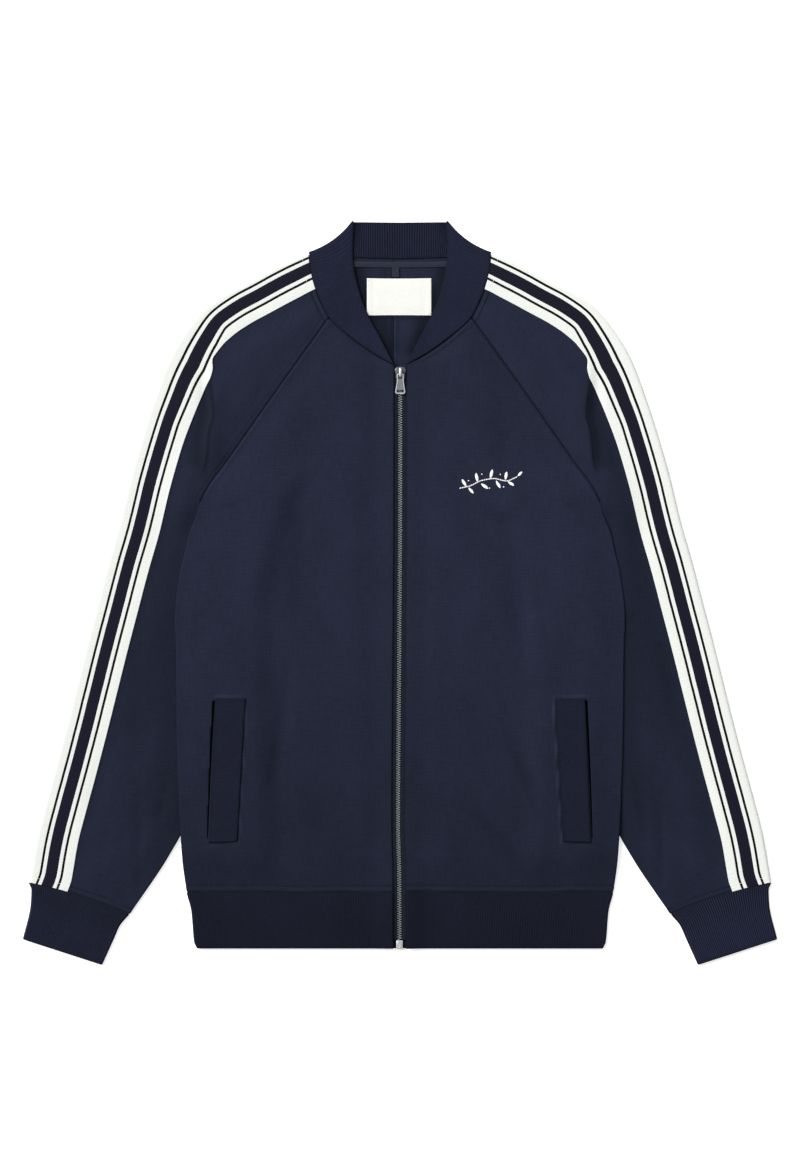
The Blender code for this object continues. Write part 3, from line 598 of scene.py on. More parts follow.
body = {
    "sideY": (-366.5, -357, -327, -308.9, -275, -222, -140, -60, -28, 18, 39, 59.6, 76, 94.1),
    "sideX": (210.8, 212.2, 214.8, 219.5, 224.1, 227.2, 229.9, 230.6, 231.8, 227.1, 222, 217.5, 211, 205.1),
    "raglanY": (94.1, 107.9, 132.8, 167.3, 216, 283), "raglanX": (205.1, 198.2, 180.3, 156.1, 121.8, 73.6),
    "neckY": (233.4, 247, 262, 283), "neckX": (5.8, 29.5, 50.3, 73.6),
    "zipY": (-366.5, -290, -240, -60, 100, 233.4), "zipX": (-0.5, -0.8, -2.0, -0.8, 0.2, 0.3),
    "backTop": (62.0, 345.0), "centreBack": -6.5,
    "wide": 225.0, "step": 3.0,      # how wide a panel is, and how far apart its rows and columns are
    "hemWave": 0.5,                  # how far the hem seam wanders up and down
    "hemStitch": 6.9, "neckStitch": 5.2, "raglanStitch": 3.6, "groove": 0.32,
    "loft": 2.2, "loftReach": 38.0,      # how high the fronts stand off the back, and how far in
    # painted shade: creaseShade draws crease troughs darker and ridges lighter, and shade by shadeY draws the
    # panels darker towards the hem and a little at the neck
    "creaseShade": 0.22,
    "shadeY": (-309, -200, -60, 120, 283), "shade": (0.74, 0.79, 0.93, 0.98, 0.88),
}
sideX = lineOf(body, "sideY", "sideX")
raglanX = lineOf(body, "raglanY", "raglanX")
neckX = lineOf(body, "neckY", "neckX")
zipX = lineOf(body, "zipY", "zipX")


def seamShift(line, at, gap="seamGap"):
    return cloth[gap] / 2 * np.hypot(1, slopeOf(line, at))


def foldArm(bent):
    # the length that a side fold takes: an arc where it is bent, and its own reach where it is flat
    return cloth["fold"] * (cloth["seamAngle"] * bent + math.sin(cloth["seamAngle"]) * (1 - bent))


def backRaglanX(y):
    share = (body["backTop"][1] - y) / (body["backTop"][1] - cloth["armpit"])
    return body["backTop"][0] + share * (sideX(cloth["armpit"]) - body["backTop"][0])


def zipRise(x):
    return cloth["zipRise"] * (1 - ease((x - cloth["frontEdge"]) / (cloth["riseReach"] - cloth["frontEdge"])))


def raiseAlong(y):
    above = 1 - ease((y - cloth["armpit"]) / 50)
    return np.where(y > cloth["armpit"], above, ease((y + 302) / 40))


def bodyRise(fromSide, y):
    return cloth["bodyRise"] * raiseAlong(y) * (1 - ease((fromSide - 76) / 28))


def hemWave(x):
    return body["hemWave"] * (np.sin(x / 31 + 1.0) + 0.6 * np.sin(x / 13.0))


# Soft folds of the fronts, each from its upper end down; +X is the wearer's left
frontCreases = {
    "right": [
        fold(-1.0, 9, (-88, 258), (-95, 172), (-105, 69), (-108, -3), (-114, -65), lean=1.5),
        fold(-1.5, 8, (-112, -40), (-121, -106), (-129, -173), (-139, -225), lean=0.7),
        fold(0.7, 9, (-97, -60), (-106, -120), (-112, -170)),
        fold(-0.8, 11, (-96, -170), (-88, -215), (-80, -262)),
        fold(0.5, 13, (-52, 205), (-58, 110), (-60, 10)),
        fold(-0.4, 7, (-36, 190), (-40, 60), (-38, -60)),
        fold(0.7, 17, (-150, 130), (-158, 60), (-170, -30)),
        fold(0.6, 12, (-30, -120), (-38, -200), (-34, -290)),
        fold(0.5, 7, (-150, -262), (-110, -284), (-60, -296)),
        fold(0.5, 6, (-212, 40), (-217, -60), (-210, -130)),
    ],
    "left": [
        fold(-1.0, 8, (88, 258), (98, 205), (104, 150), (106, 95), lean=1.4),
        fold(-0.9, 9, (78, 82), (104, 76), (132, 84)),
        fold(-0.9, 6, (106, 60), (112, 20), (119, -35), (124, -80), lean=1.4),
        fold(-0.9, 5, (137, 52), (141, 8), (148, -40), (151, -85), lean=1.4),
        fold(0.5, 6, (128, 40), (134, -20), (138, -80)),
        fold(-1.3, 7, (98, -112), (112, -150), (131, -195), (147, -243), lean=0.7),
        fold(0.8, 8, (118, -122), (136, -162), (150, -205)),
        fold(-1.3, 6, (52, -196), (84, -232), (116, -268), (138, -303), lean=1.5),
        fold(0.6, 8, (70, -196), (102, -232), (130, -262)),
        fold(-0.7, 9, (70, -92), (73, -112), (72, -134)),
        fold(0.5, 13, (42, 190), (50, 130), (48, 40)),
        fold(0.7, 9, (38, -210), (46, -260), (40, -298)),
        fold(0.6, 16, (158, 118), (166, 60), (172, -20)),
        fold(-0.5, 6, (20, -190), (30, -215), (44, -232)),
    ],
}
# Puckers that fan down from the top of the raglan seam, on both sides: foot, and depth
puckers = (((76, 214), -0.5), ((66, 208), 0.3), ((58, 200), -0.35), ((45, 205), 0.25), ((92, 190), 0.3))
for side, sign in sides.items():
    for foot, rise in puckers:
        top = (foot[0] + (75 - foot[0]) * 0.85, 262)
        ends = (sign * top[0], top[1]), (sign * foot[0], foot[1])
        frontCreases[side].append(fold(rise, 3.2, *ends, start=0.2, end=0.8))


def bodyRows(foot, top, corners=()):
    steps = edgeSteps(cloth["jersey"], (1.2, 2.2, 3.4, 4.6, 5.7, 6.4, 6.9, 7.4, 8.2, 10, 12.4))
    count = int((top - foot) / body["step"])
    rows = foot + spreadOut(top - foot, steps, edgeSteps(cloth["jersey"], (1.5,)), count)
    for corner in corners:
        rows[np.argmin(np.abs(rows - corner))] = corner
    return rows


def acrossTo(rows, innerAt, edgeAt, bentAt, layerZ, down, count, near, far, stretches):
    # rows of a body panel, from its inner edge out and round the side fold
    grid, lengths = np.zeros((len(rows), count, 3)), np.zeros((len(rows), count))
    angle = cloth["seamAngle"]
    for k, y in enumerate(rows):
        bent, inner, edge = bentAt[k], innerAt[k], edgeAt[k]
        flatEnd = edge - cloth["fold"] * math.sin(angle)
        arm, flat = foldArm(bent), flatEnd - inner
        run = spreadOut(flat + arm, near, far, count, *stretches[k])
        turn = np.clip((run - flat) / arm, 0, 1) * angle
        x = np.where(run < flat, inner + run, flatEnd + cloth["fold"] * np.sin(turn))
        drop = cloth["fold"] * (1 - np.cos(turn)) * bent
        grid[k, :, 0], grid[k, :, 1] = x, y
        grid[k, :, 2] = layerZ + bodyRise(flatEnd - x, y) - down * drop
        lengths[k] = run + inner
    return grid, lengths


def sideEdge(rows, raglan, lean=0.0, gap="seamGap"):
    # where the middle of the wall ends, and how far it is bent round the side fold
    bent = 1 - ease((rows - 84) / 16)
    high = np.maximum(rows + lean, cloth["armpit"])
    edge = np.where(rows + lean < cloth["armpit"], sideX(rows), raglan(high))
    return edge - (seamShift(raglan, high, gap) * (1 - bent) + cloth["jersey"] / 2 * bent), bent


def frontMid(side, sign):
    top = cloth["raglanTop"] - 1.6
    rows = bodyRows(cloth["hemSeam"] + cloth["closeGap"] / 2, top, (cloth["neckFront"],))
    atNeck = np.maximum(rows, cloth["neckFront"])
    onNeck = ease((rows - cloth["neckFront"] + 1) / 2)
    inner = np.where(rows <= cloth["neckFront"], cloth["frontEdge"] + sign * zipX(rows),
                     neckX(atNeck) + seamShift(neckX, atNeck))
    edge, bent = sideEdge(rows, raglanX)
    edge = np.maximum(edge, inner + 0.8)
    nearStretch = 1 + onNeck * (np.clip(np.hypot(1, slopeOf(neckX, atNeck)), 1, 2.2) - 1)
    farStretch = 1 + (1 - bent) * (np.hypot(1, slopeOf(raglanX, np.maximum(rows, 95))) - 1)
    near = edgeSteps(cloth["jersey"], (1.0, 1.6, 2.4, 3.3, 4.2, 4.9, 5.5, 6.3, 7.5, 9.5))
    far = edgeSteps(cloth["jersey"], (0.9, 1.3, 1.8, 2.5, 3.4, 4.6, 6.2))
    count = int(body["wide"] / body["step"]) + len(near) + len(far)
    grid, run = acrossTo(rows, inner, edge, bent, cloth["frontZ"], 1, count, near, far,
                         np.stack([nearStretch, farStretch], axis=1))
    x, y = grid[..., 0], grid[..., 1]
    grid[..., 2] += zipRise(x - sign * zipX(y))
    fromOuter, fromFoot, fromInner = edge[:, None] - x, y - rows[0], x - inner[:, None]
    reach = body["loftReach"]
    height = creaseHeight(sign * x, y, frontCreases[side])
    grid[..., 2] += height * ease(fromOuter / 7) * ease(fromFoot / 12) * ease(fromInner / 8)
    grid[..., 2] += body["loft"] * ease(fromOuter / reach) * ease(fromFoot / reach) * ease(fromInner / reach)
    grid[..., 1] += hemWave(sign * x) * (1 - ease(fromFoot / 40))
    height = creaseHeight(sign * x, y, frontCreases[side])      # again, where the hem's wave has moved it
    # painted shade down the panel and in crease troughs, painted highlight on the ridges, painted lines round
    # the welt, and the stitched band's painted light and shade by the hem
    shade = lineOf(body, "shadeY", "shade")(y) * np.clip(1 + body["creaseShade"] * height, 0.7, 1.12)
    for away, lighter, width in pocket["paintedRims"]:
        shade *= 1 + lighter * bump(nearPath(np.abs(x), y, weltFrame(away))[0], width)
    shade *= stitchedBand(edgeDistances(grid)["low"], body["hemStitch"])
    return grid, uvOf(run, y), shade


pocket = {
    "topIn": (158.9, -109.7), "topOut": (189.9, -108.7), "lowIn": (167.3, -255.7), "lowOut": (196.2, -256.8),
    "long": 146.0, "wide": 30.5, "thick": 1.1, "lift": 0.12, "stitch": 2.4,
    "ribCount": 58, "ribs": 0.22, "shade": 0.58,
    "paintedRims": ((1.8, 0.8, 0.9), (0.2, -0.5, 0.8)),      # painted lines round it, a highlight outside and shade at its edge: how far out, how much lighter, width
    "slitTop": (191.3, -111.6), "slitLow": (197.5, -252.3), "slitWide": 2.5, "slitNarrow": 0.9,
    "slitZ": (4.5, 10.0), "slitBow": 0.5, "slitShade": (0.6, 0.1),      # painted shade on the cut: lighter at its rim, and dark inside
}


def stitchedBand(distance, at):
    # painted light and shade: between a seam and its topstitching the colour is drawn a little lighter, and
    # dark at the stitches
    return (1 + 0.1 * bump(distance - at / 2, at / 3)) * (1 - 0.6 * bump(distance - at, 0.85))


def seamBand(distance, end):
    # where the seam's allowances lie under the cloth
    return ease((distance - 0.6) / 1.2) * (1 - ease((distance - end) / 1.6))


def seamDip(distance):
    return 0.6 * bump(distance, 1.6)


def weltFrame(away):
    # a path round the inner side and both ends of a pocket welt
    corners = [np.array(pocket[key]) for key in ("topOut", "topIn", "lowIn", "lowOut")]
    moves = ((0, away), (-away, away), (-away, -away), (0, -away))
    return [corner + move for corner, move in zip(corners, moves)]


def frontRelief(grid):
    # the seam allowances under the topstitching: a low band along the hem and neck, and a groove beside it
    edges = edgeDistances(grid)
    neck = ease((grid[..., 1] - cloth["neckFront"] - 1) / 4)
    relief = np.zeros(grid.shape[:2])
    wander = 1 + 0.3 * np.sin(grid[..., 0] / 9 + 1.4 * np.sin(grid[..., 0] / 23))
    for edge, kind, share in (("low", "hemStitch", 1.0), ("first", "neckStitch", neck)):
        distance, at = edges[edge], body[kind]
        band = 0.45 * wander * seamBand(distance, at - 0.8)
        relief += share * (band - body["groove"] * bump(distance - at, 0.7))
    onRaglan = ease((grid[..., 1] - 96) / 10)
    relief += (0.4 * bump(edges["last"] - 3.0, 1.6) - 0.6 * bump(edges["last"], 1.6)) * onRaglan
    relief -= seamDip(edges["first"]) * neck + seamDip(edges["low"])
    fromWelt = nearPath(np.abs(grid[..., 0]), grid[..., 1], weltFrame(0))[0]
    return relief + 0.3 * bump(fromWelt - 1.2, 0.8) - 0.25 * bump(fromWelt - pocket["stitch"], 0.6)


fronts, backs, surfaces = {}, {}, {}


def cutSlit(front, sign):
    # the pocket's opening, between the welt and the panel: wider at its top
    (topX, topY), (lowX, lowY) = pocket["slitTop"], pocket["slitLow"]
    bpy.ops.mesh.primitive_cube_add(size=1)
    cutter = bpy.context.object
    for vert in cutter.data.vertices:
        x, y, wide = (topX, topY, pocket["slitWide"]) if vert.co.y > 0 else (lowX, lowY, pocket["slitNarrow"])
        x += wide / 2 if vert.co.x > 0 else -wide / 2
        vert.co = Vector((sign * x, y, pocket["slitZ"][vert.co.z > 0])) * mm
    if sign < 0:
        cutter.data.flip_normals()
    inEditMode(cutter, lambda: bpy.ops.mesh.subdivide(number_cuts=6))
    for vert in cutter.data.vertices:      # the opening bows a little, as a pocket's mouth does
        share = (vert.co.y / mm - lowY) / (topY - lowY)
        vert.co.x += sign * pocket["slitBow"] * mm * math.sin(math.pi * share)
    applied(front, "BOOLEAN", operation="DIFFERENCE", solver="EXACT", object=cutter)
    bpy.data.objects.remove(cutter)
    values = np.empty(len(front.data.vertices), dtype=np.float32)
    paintedShade = front.data.attributes["shade"].data
    paintedShade.foreach_get("value", values)
    heights = np.array([vert.co.z for vert in front.data.vertices]) / mm
    # painted shadow on the cut's walls: dark below the cloth's top, lighter at its rim
    cut = np.where(heights > cloth["frontZ"] + 0.2, *pocket["slitShade"])
    paintedShade.foreach_set("value", np.where(values < 0.05, cut, values))      # the cut's own points had none


for side, sign in sides.items():
    mid, uv, shade = frontMid(side, sign)
    fronts[side] = thickSheet(f"frontPanel_{side}", f"front_{side}", mid, cloth["jersey"], uv,
                              jerseyKnit, frontRelief(mid), sign=sign, shade=shade)
    surfaces[side] = treeOf(fronts[side])
    cutSlit(fronts[side], sign)
print("fronts made:", len(fronts["left"].data.polygons), "faces each")

# Soft folds of the back, which lies on the surface, so they only rise
backCreases = {
    "right": [
        fold(0.9, 2.6, (-13, 292), (-12.5, 262), (-10, 228)),
        fold(1.0, 9, (-70, 230), (-86, 120), (-92, 0)),
        fold(0.9, 8, (-60, -60), (-80, -160), (-110, -250)),
        fold(0.8, 11, (-150, 40), (-168, -60), (-160, -150)),
        fold(0.6, 7, (-30, 150), (-34, 40), (-26, -80)),
    ],
    "left": [
        fold(1.0, 9, (74, 236), (92, 130), (98, 30)),
        fold(0.7, 8, (34, 100), (46, -20), (40, -130)),
        fold(0.9, 8, (90, -90), (112, -180), (150, -262)),
        fold(0.8, 10, (150, 60), (160, -20), (172, -110)),
        fold(0.5, 4, (12, 288), (14, 262), (20, 236)),
    ],
}


def backMid(side, sign):
    rows = bodyRows(cloth["hemSeam"] + cloth["closeGap"] / 2, cloth["neckBack"] - cloth["closeGap"] / 2)
    inner = np.full(len(rows), sign * body["centreBack"] + cloth["closeGap"] / 2)
    lean = (body["backTop"][1] - cloth["neckBack"]) * ease((rows - 250) / 90)
    edge, bent = sideEdge(rows, backRaglanX, lean, "closeGap")
    near = edgeSteps(cloth["jersey"], (1.4, 3.0))
    far = edgeSteps(cloth["jersey"], (0.9, 1.3, 1.8, 2.8))
    count = int(body["wide"] / (1.5 * body["step"])) + len(near) + len(far)
    even = np.ones((len(rows), 2))
    grid, run = acrossTo(rows, inner, edge, bent, cloth["backZ"], -1, count, near, far, even)
    x, y = grid[..., 0], grid[..., 1]
    fade = ease((edge[:, None] - x) / 8) * ease((y - rows[0]) / 12) * ease((rows[-1] - y) / 10)
    fade *= ease((x - inner[:, None]) / 3)
    grid[..., 2] += creaseHeight(sign * x, y, backCreases[side]) * fade
    grid[..., 1] += lean[:, None] * np.abs(x) / body["backTop"][0]
    shade = np.ones(x.shape)
    for dark in paintedNeckShade:
        away, share, _ = nearPath(sign * x, y, pathPoints(dark["path"], 6))
        shade *= 1 - dark["rise"] * bump(away, dark["width"]) * ease(share / 0.1) * ease((1 - share) / 0.1)
    # painted shadow on the back's inside, under the pocket's slit
    inPocket = bump(nearPath(x, y, (pocket["slitTop"], pocket["slitLow"]))[0], 5)
    return grid, uvOf(run, y), shade * (1 - 0.85 * inPocket)


# Painted shade on the inside of the back, left of its middle seam, along the collar and round the label; here
# the first number is how dark it is, and below 0 a line is drawn lighter
paintedNeckShade = [
    fold(0.35, 3.2, (-15, 345), (-14.5, 262), (-11, 215)),
    fold(0.5, 1.8, (-8.8, 345), (-8.7, 262), (-8.5, 215)),
    fold(-0.6, 0.9, (-5.4, 345), (-5.3, 262), (-5.2, 215)),
    fold(0.3, 1.3, (-3.2, 330), (-3.0, 262), (-3.0, 215)),
    fold(0.55, 9, (46, 345), (42, 318), (29, 283), (8, 240)),
    fold(0.6, 11, (-46, 345), (-42, 318), (-29, 283), (-8, 240)),
    fold(0.45, 2.2, (-36, 325), (-36, 283), (35, 283), (35, 325)),
    fold(0.25, 5, (22, 282), (20, 262), (12, 240)),
]
for side, sign in sides.items():
    mid, uv, shade = backMid(side, sign)
    backs[side] = thickSheet(f"backPanel_{side}", f"back_{side}", mid[:, ::-1], cloth["jersey"], uv[:, ::-1],
                             jerseyKnit, sign=sign, shade=shade[:, ::-1], shadeInside=True)
print("backs made")


# ---- sleeves, striped tape and cuffs

sleeve = {
    "shoulderX": (95, 115, 133, 155, 178, 200, 220, 237.3, 254.2, 267.4, 279),
    "shoulderY": (350, 341.2, 332.2, 320.5, 309, 294, 270.5, 242.2, 198.2, 157, 115.7),
    "raglanRows": (283, 262, 247, 233.4, 216, 194.4, 167.3, 147.5, 127.7, 107.9, 94.1),
    "underX": (205.2, 186, 180, 177, 180, 187, 199, 218, 241, 278.5),
    "underY": (76, 49, 2, -45, -92, -140, -188, -234, -275.6, -331),
    "outerX": (289, 300.8, 311.6, 322.4, 332.7, 343, 353.8, 365, 374, 382.3),
    "outerY": (74.1, 32.9, -8.3, -49.5, -90.7, -131.9, -173.1, -214.3, -250, -298.2),
    "shoulder": (94.9, 350.0), "neckBulge": 4.0, "seamBow": 3.0, "armpitRoom": 0.3,
    "loft": 1.8, "riseReach": 60.0, "cuffStitch": 5.8, "neckStitch": 5.6,
    "foldIn": 2.8,            # how far the middle of the outer fold lies inside its edge
    # painted shade along the sleeve by height, darkest from the armpit down
    "shadeY": (-340, -250, -150, -40, 60, 130, 220, 350),
    "shade": (0.86, 0.83, 0.79, 0.75, 0.77, 0.87, 0.98, 1.0),
    "rowCount": 244, "topColumns": 62, "tapeColumns": 15, "foldColumns": 12, "lowColumns": 34,
    # the fold from the shoulder to the armpit: its path, its ridge's height and two widths, and its trough's
    # depth, place and width
    "foldPath": ((188, 262), (192, 245), (195, 217), (193, 204), (191, 183), (195.5, 166), (198.5, 136),
                 (203, 118)),
    "ridge": (2.0, 15.0, 4.6), "trough": (-1.2, 8, 6.5),
}
# The tape: how wide it shows by row, how much of its width has gone round the shoulder beside the neck, and
# how far it is stretched over the point of the shoulder
tape = {
    "rows": (0, 1.2, 3, 4, 5, 5.7, 6.25, 6.7, 7.08, 7.5, 8, 9, 19.75, 20),
    "widths": (38.6, 38.9, 39.2, 40.4, 41, 39.8, 39.4, 45.6, 47.8, 46.4, 45.2, 43.6, 43.5, 41.3),
    "wrapRows": (0, 2, 3, 4, 5, 6, 7, 19.72, 20), "wraps": (5.2, 5.0, 4.7, 3.6, 2.6, 1.4, 0, 0, 2.3),
    "stretchRows": (0, 5, 5.8, 6.9, 7.5, 8.4, 20), "stretches": (1, 1, 1.09, 1.15, 1.08, 1, 1),
    "lift": 0.15, "columns": 44, "end": 88,
}
armpitRow, lastRow = 10, 20      # rows end at the raglan seam down to the armpit, then at the underarm fold

# Soft folds of the sleeves, from the shoulder down; mirrored, with small differences
sleeveCreases = {
    "left": [
        fold(-1.2, 9, (222, 206), (230, 150), (246, 80), (262, 10), lean=1.4),
        fold(1.0, 9, (212, 100), (228, 40), (240, -40)),
        fold(-1.0, 10, (262, -10), (272, -80), (284, -150)),
        fold(0.9, 9, (246, -70), (252, -140), (262, -200)),
        fold(-1.1, 3.4, (269, -176), (268, -236), (270.5, -308), lean=2.2, end=0.15),
        fold(-0.9, 9, (300, -120), (312, -190), (326, -262)),
        fold(0.8, 6, (250, -210), (262, -262), (282, -318)),
        fold(0.8, 7, (288, -216), (297, -262), (306, -306)),
        fold(-0.9, 6, (236, -170), (246, -214), (256, -262)),
    ],
    "right": [
        fold(-1.2, 9, (-221, 210), (-230, 140), (-249, 70), (-266, -6), lean=1.4),
        fold(0.9, 10, (-214, 90), (-226, 30), (-243, -50)),
        fold(-1.1, 9, (-258, -20), (-270, -95), (-280, -165)),
        fold(0.8, 9, (-244, -90), (-251, -150), (-266, -210)),
        fold(-1.1, 3.2, (-268, -168), (-267.5, -236), (-269.5, -309), lean=2.2, end=0.15),
        fold(-0.9, 9, (-302, -110), (-311, -180), (-324, -250)),
        fold(0.8, 6, (-252, -214), (-266, -270), (-284, -320)),
        fold(0.8, 7, (-286, -200), (-295, -256), (-307, -300)),
        fold(-0.9, 6, (-234, -164), (-243, -206), (-252, -250)),
    ],
}


def neckCurve(outwards):
    # the neck seam beside a sleeve, from the raglan seam to the shoulder, moved outwards
    start, end = np.array((body["neckX"][-1], cloth["raglanTop"])), np.array(sleeve["shoulder"])

    def place(share):
        share = np.asarray(share, float)[..., None]
        away = sleeve["neckBulge"] * arch(share) + outwards
        return start + (end - start) * share + squareTo(end - start) * away
    return place


def sleeveFrame():
    # each row's outer edge, its front and back inner edges, and the direction inwards
    knots = np.arange(lastRow + 1)
    outerAt = [smoothLine(knots, sleeve["shoulder" + c] + sleeve["outer" + c]) for c in "XY"]
    raglanY = smoothLine(knots[:armpitRow + 1], sleeve["raglanRows"])
    backY = smoothLine((0, armpitRow), (body["backTop"][1], cloth["armpit"]))
    underAt = [smoothLine(knots[armpitRow:], (value,) + sleeve["under" + c])
               for c, value in (("X", body["sideX"][-1]), ("Y", cloth["armpit"]))]
    lengths = np.hypot(np.diff(outerAt[0](knots)), np.diff(outerAt[1](knots)))
    along = smoothLine([0, *np.cumsum(lengths)], knots)
    steps = edgeSteps(cloth["jersey"], (1.3, 2.5, 4, 5.2, 5.8, 6.4, 7.6))
    t = along(spreadOut(lengths.sum(), steps, steps, sleeve["rowCount"]))
    t[0], t[-1] = 0, lastRow
    t[np.argmin(np.abs(t - armpitRow))] = armpitRow
    t = t[::-1]                # from the cuff up
    outer = np.stack([line(t) for line in outerAt], axis=1)
    y = raglanY(np.minimum(t, armpitRow))
    room = sleeve["armpitRoom"] * bump(y - cloth["armpit"], 6)
    front = np.stack([raglanX(y) + seamShift(raglanX, y) + room, y], axis=1)
    y = backY(np.minimum(t, armpitRow))
    back = np.stack([backRaglanX(y) + seamShift(backRaglanX, y, "closeGap"), y], axis=1)
    under = np.stack([line(np.maximum(t, armpitRow)) for line in underAt], axis=1)
    isUnder = (t > armpitRow)[:, None]
    front, back = np.where(isUnder, under, front), np.where(isUnder, under, back)
    upwards = unit(np.gradient(outer, axis=0))
    inwards = np.stack([-upwards[:, 1], upwards[:, 0]], axis=1)
    last = unit(front[0] - outer[0])
    turn = ease((t - 19.3) / 0.7)[:, None]
    inwards = unit(inwards * (1 - turn) + last * turn)
    besideNeck = np.array(sleeve["shoulder"]) - (body["neckX"][-1], cloth["raglanTop"])
    lean = ease(t / 1.5)[:, None]
    inwards = unit(inwards * lean - unit(besideNeck) * (1 - lean))
    return {"t": t, "outer": outer, "front": front, "back": back, "inwards": inwards,
            "tape": lineOf(tape, "rows", "widths")(t), "bent": ease((t - 9.6) / 1.2),
            "frontRise": cloth["bodyRise"] * raiseAlong(front[:, 1]) * (t <= armpitRow),
            "backRise": cloth["bodyRise"] * raiseAlong(back[:, 1]) * (1 - ease((t - armpitRow) / 0.45))}


def bowUp(place, start, end, bow):
    # a place on the cuff seam, moved up the sleeve where the seam bows
    run = end - start
    share = np.clip(((place - start) @ run) / (run @ run), 0, 1)[..., None]
    return place + squareTo(run) * bow * arch(share)


def topPlan(rowsOf, k, shares):
    # the plan of a row's upper layer: shares 0 to 1 run to the tape's edge, and 1 to 2 on to the fold
    outer, front, inwards = rowsOf["outer"][k], rowsOf["front"][k], rowsOf["inwards"][k]
    outward = unit(front - outer)
    centre = outer + inwards * sleeve["foldIn"]
    tapeEdge = outer + inwards * rowsOf["tape"][k]
    inner = front - outward * cloth["fold"] * math.sin(cloth["seamAngle"])
    first, second = np.minimum(shares, 1)[:, None], np.maximum(shares - 1, 0)[:, None]
    place = inner + (tapeEdge - inner) * first + (centre - tapeEdge) * second
    atNeck = 1 - ease(rowsOf["t"][k] / 1.3)
    if atNeck > 0:        # the top row follows the bulging neck seam, and the next ones ease away from it
        seam = neckCurve(cloth["seamGap"] / 2)
        run = seam(1.0) - seam(0.0)
        length = (place - place[0]) @ run / max((centre - place[0]) @ run, 1e-6)
        place = place + squareTo(run) * (sleeve["neckBulge"] * arch(length) * atNeck)[:, None]
    bow = sleeve["seamBow"] * ease((rowsOf["t"][k] - 18.2) / 1.8)
    return bowUp(place, outer, front, bow), outward


def shoulderFold(x, y):
    # the soft fold that drops from the shoulder to the armpit: a ridge with a steep outer side
    away, share, sideOf = nearPath(np.abs(x), y, pathPoints(sleeve["foldPath"], 6))
    taper = ease((share - 0.08) / 0.4) * ease((1 - share) / 0.2)
    rise, inner, outer = sleeve["ridge"]
    sink, apart, width = sleeve["trough"]
    ridge = rise * bump(away, np.where(sideOf > 0, inner, outer))
    return (ridge + sink * bump(np.where(sideOf < 0, away - apart, 99), width)) * taper


def sleevePlan(rowsOf):
    # the plan of each row's upper layer, from its inner edge to the middle of the fold
    radius, angle = cloth["fold"], cloth["seamAngle"]
    near = edgeSteps(cloth["jersey"], (0.9, 1.4, 2.2, 2.9, 3.6, 4.3, 5.2, 6.8))
    underTape = np.linspace(0, 1, sleeve["tapeColumns"])
    plans, drops, fromSeam = [], [], []
    for k, bent in enumerate(rowsOf["bent"]):
        ends, outward = topPlan(rowsOf, k, np.array((0.0, 1.0)))
        width = np.linalg.norm(ends[1] - ends[0])
        arm = foldArm(bent)
        run = spreadOut(width + arm, near, (0.0, 1.2, 2.4), sleeve["topColumns"], 1.55 - 0.55 * bent)
        turn = np.clip((arm - run) / arm, 0, 1) * angle
        shares = np.concatenate([np.maximum(run[:-1] - arm, 0) / width, 1 + underTape])
        turn = np.concatenate([turn[:-1], 0 * underTape])
        plan = topPlan(rowsOf, k, shares)[0]
        plans.append(plan + outward * (radius * np.sin(turn))[:, None])
        drops.append(radius * (1 - np.cos(turn)) * bent)
        fromSeam.append(np.concatenate([run[:-1], run[-1] + 40 * underTape]))
    return np.array(plans), np.array(drops), np.array(fromSeam)


def sleeveUnder(rowsOf, k):
    # a row's fold and lower layer
    radius, angle, bent = cloth["fold"], cloth["seamAngle"], rowsOf["bent"][k]
    outer, back, inwards = rowsOf["outer"][k], rowsOf["back"][k], rowsOf["inwards"][k]
    centre = outer + inwards * sleeve["foldIn"]
    arc = np.radians(np.linspace(0, 180, sleeve["foldColumns"] + 2))[1:-1]
    around = centre - inwards * (radius * np.sin(arc))[:, None]
    around = np.column_stack([around, cloth["backZ"] + radius + radius * np.cos(arc)])
    outward = unit(back - outer)
    inner = back - outward * radius * math.sin(angle)
    arm, width = foldArm(bent), np.linalg.norm(inner - centre)
    byBack = edgeSteps(cloth["jersey"], (0.9, 1.4, 2.4))
    run = spreadOut(width + arm, (0.0, 1.5), byBack, sleeve["lowColumns"])
    turn = np.clip((run - width) / arm, 0, 1) * angle
    place = centre + (inner - centre) * np.minimum(run / width, 1)[:, None]
    place = place + outward * (radius * np.sin(turn))[:, None]
    reach = np.linalg.norm(place - back, axis=1)
    rise = rowsOf["backRise"][k] * (1 - ease(reach / sleeve["riseReach"]))
    z = cloth["backZ"] + rise + radius * (1 - np.cos(turn)) * bent
    return np.concatenate([around, np.column_stack([place, z])])


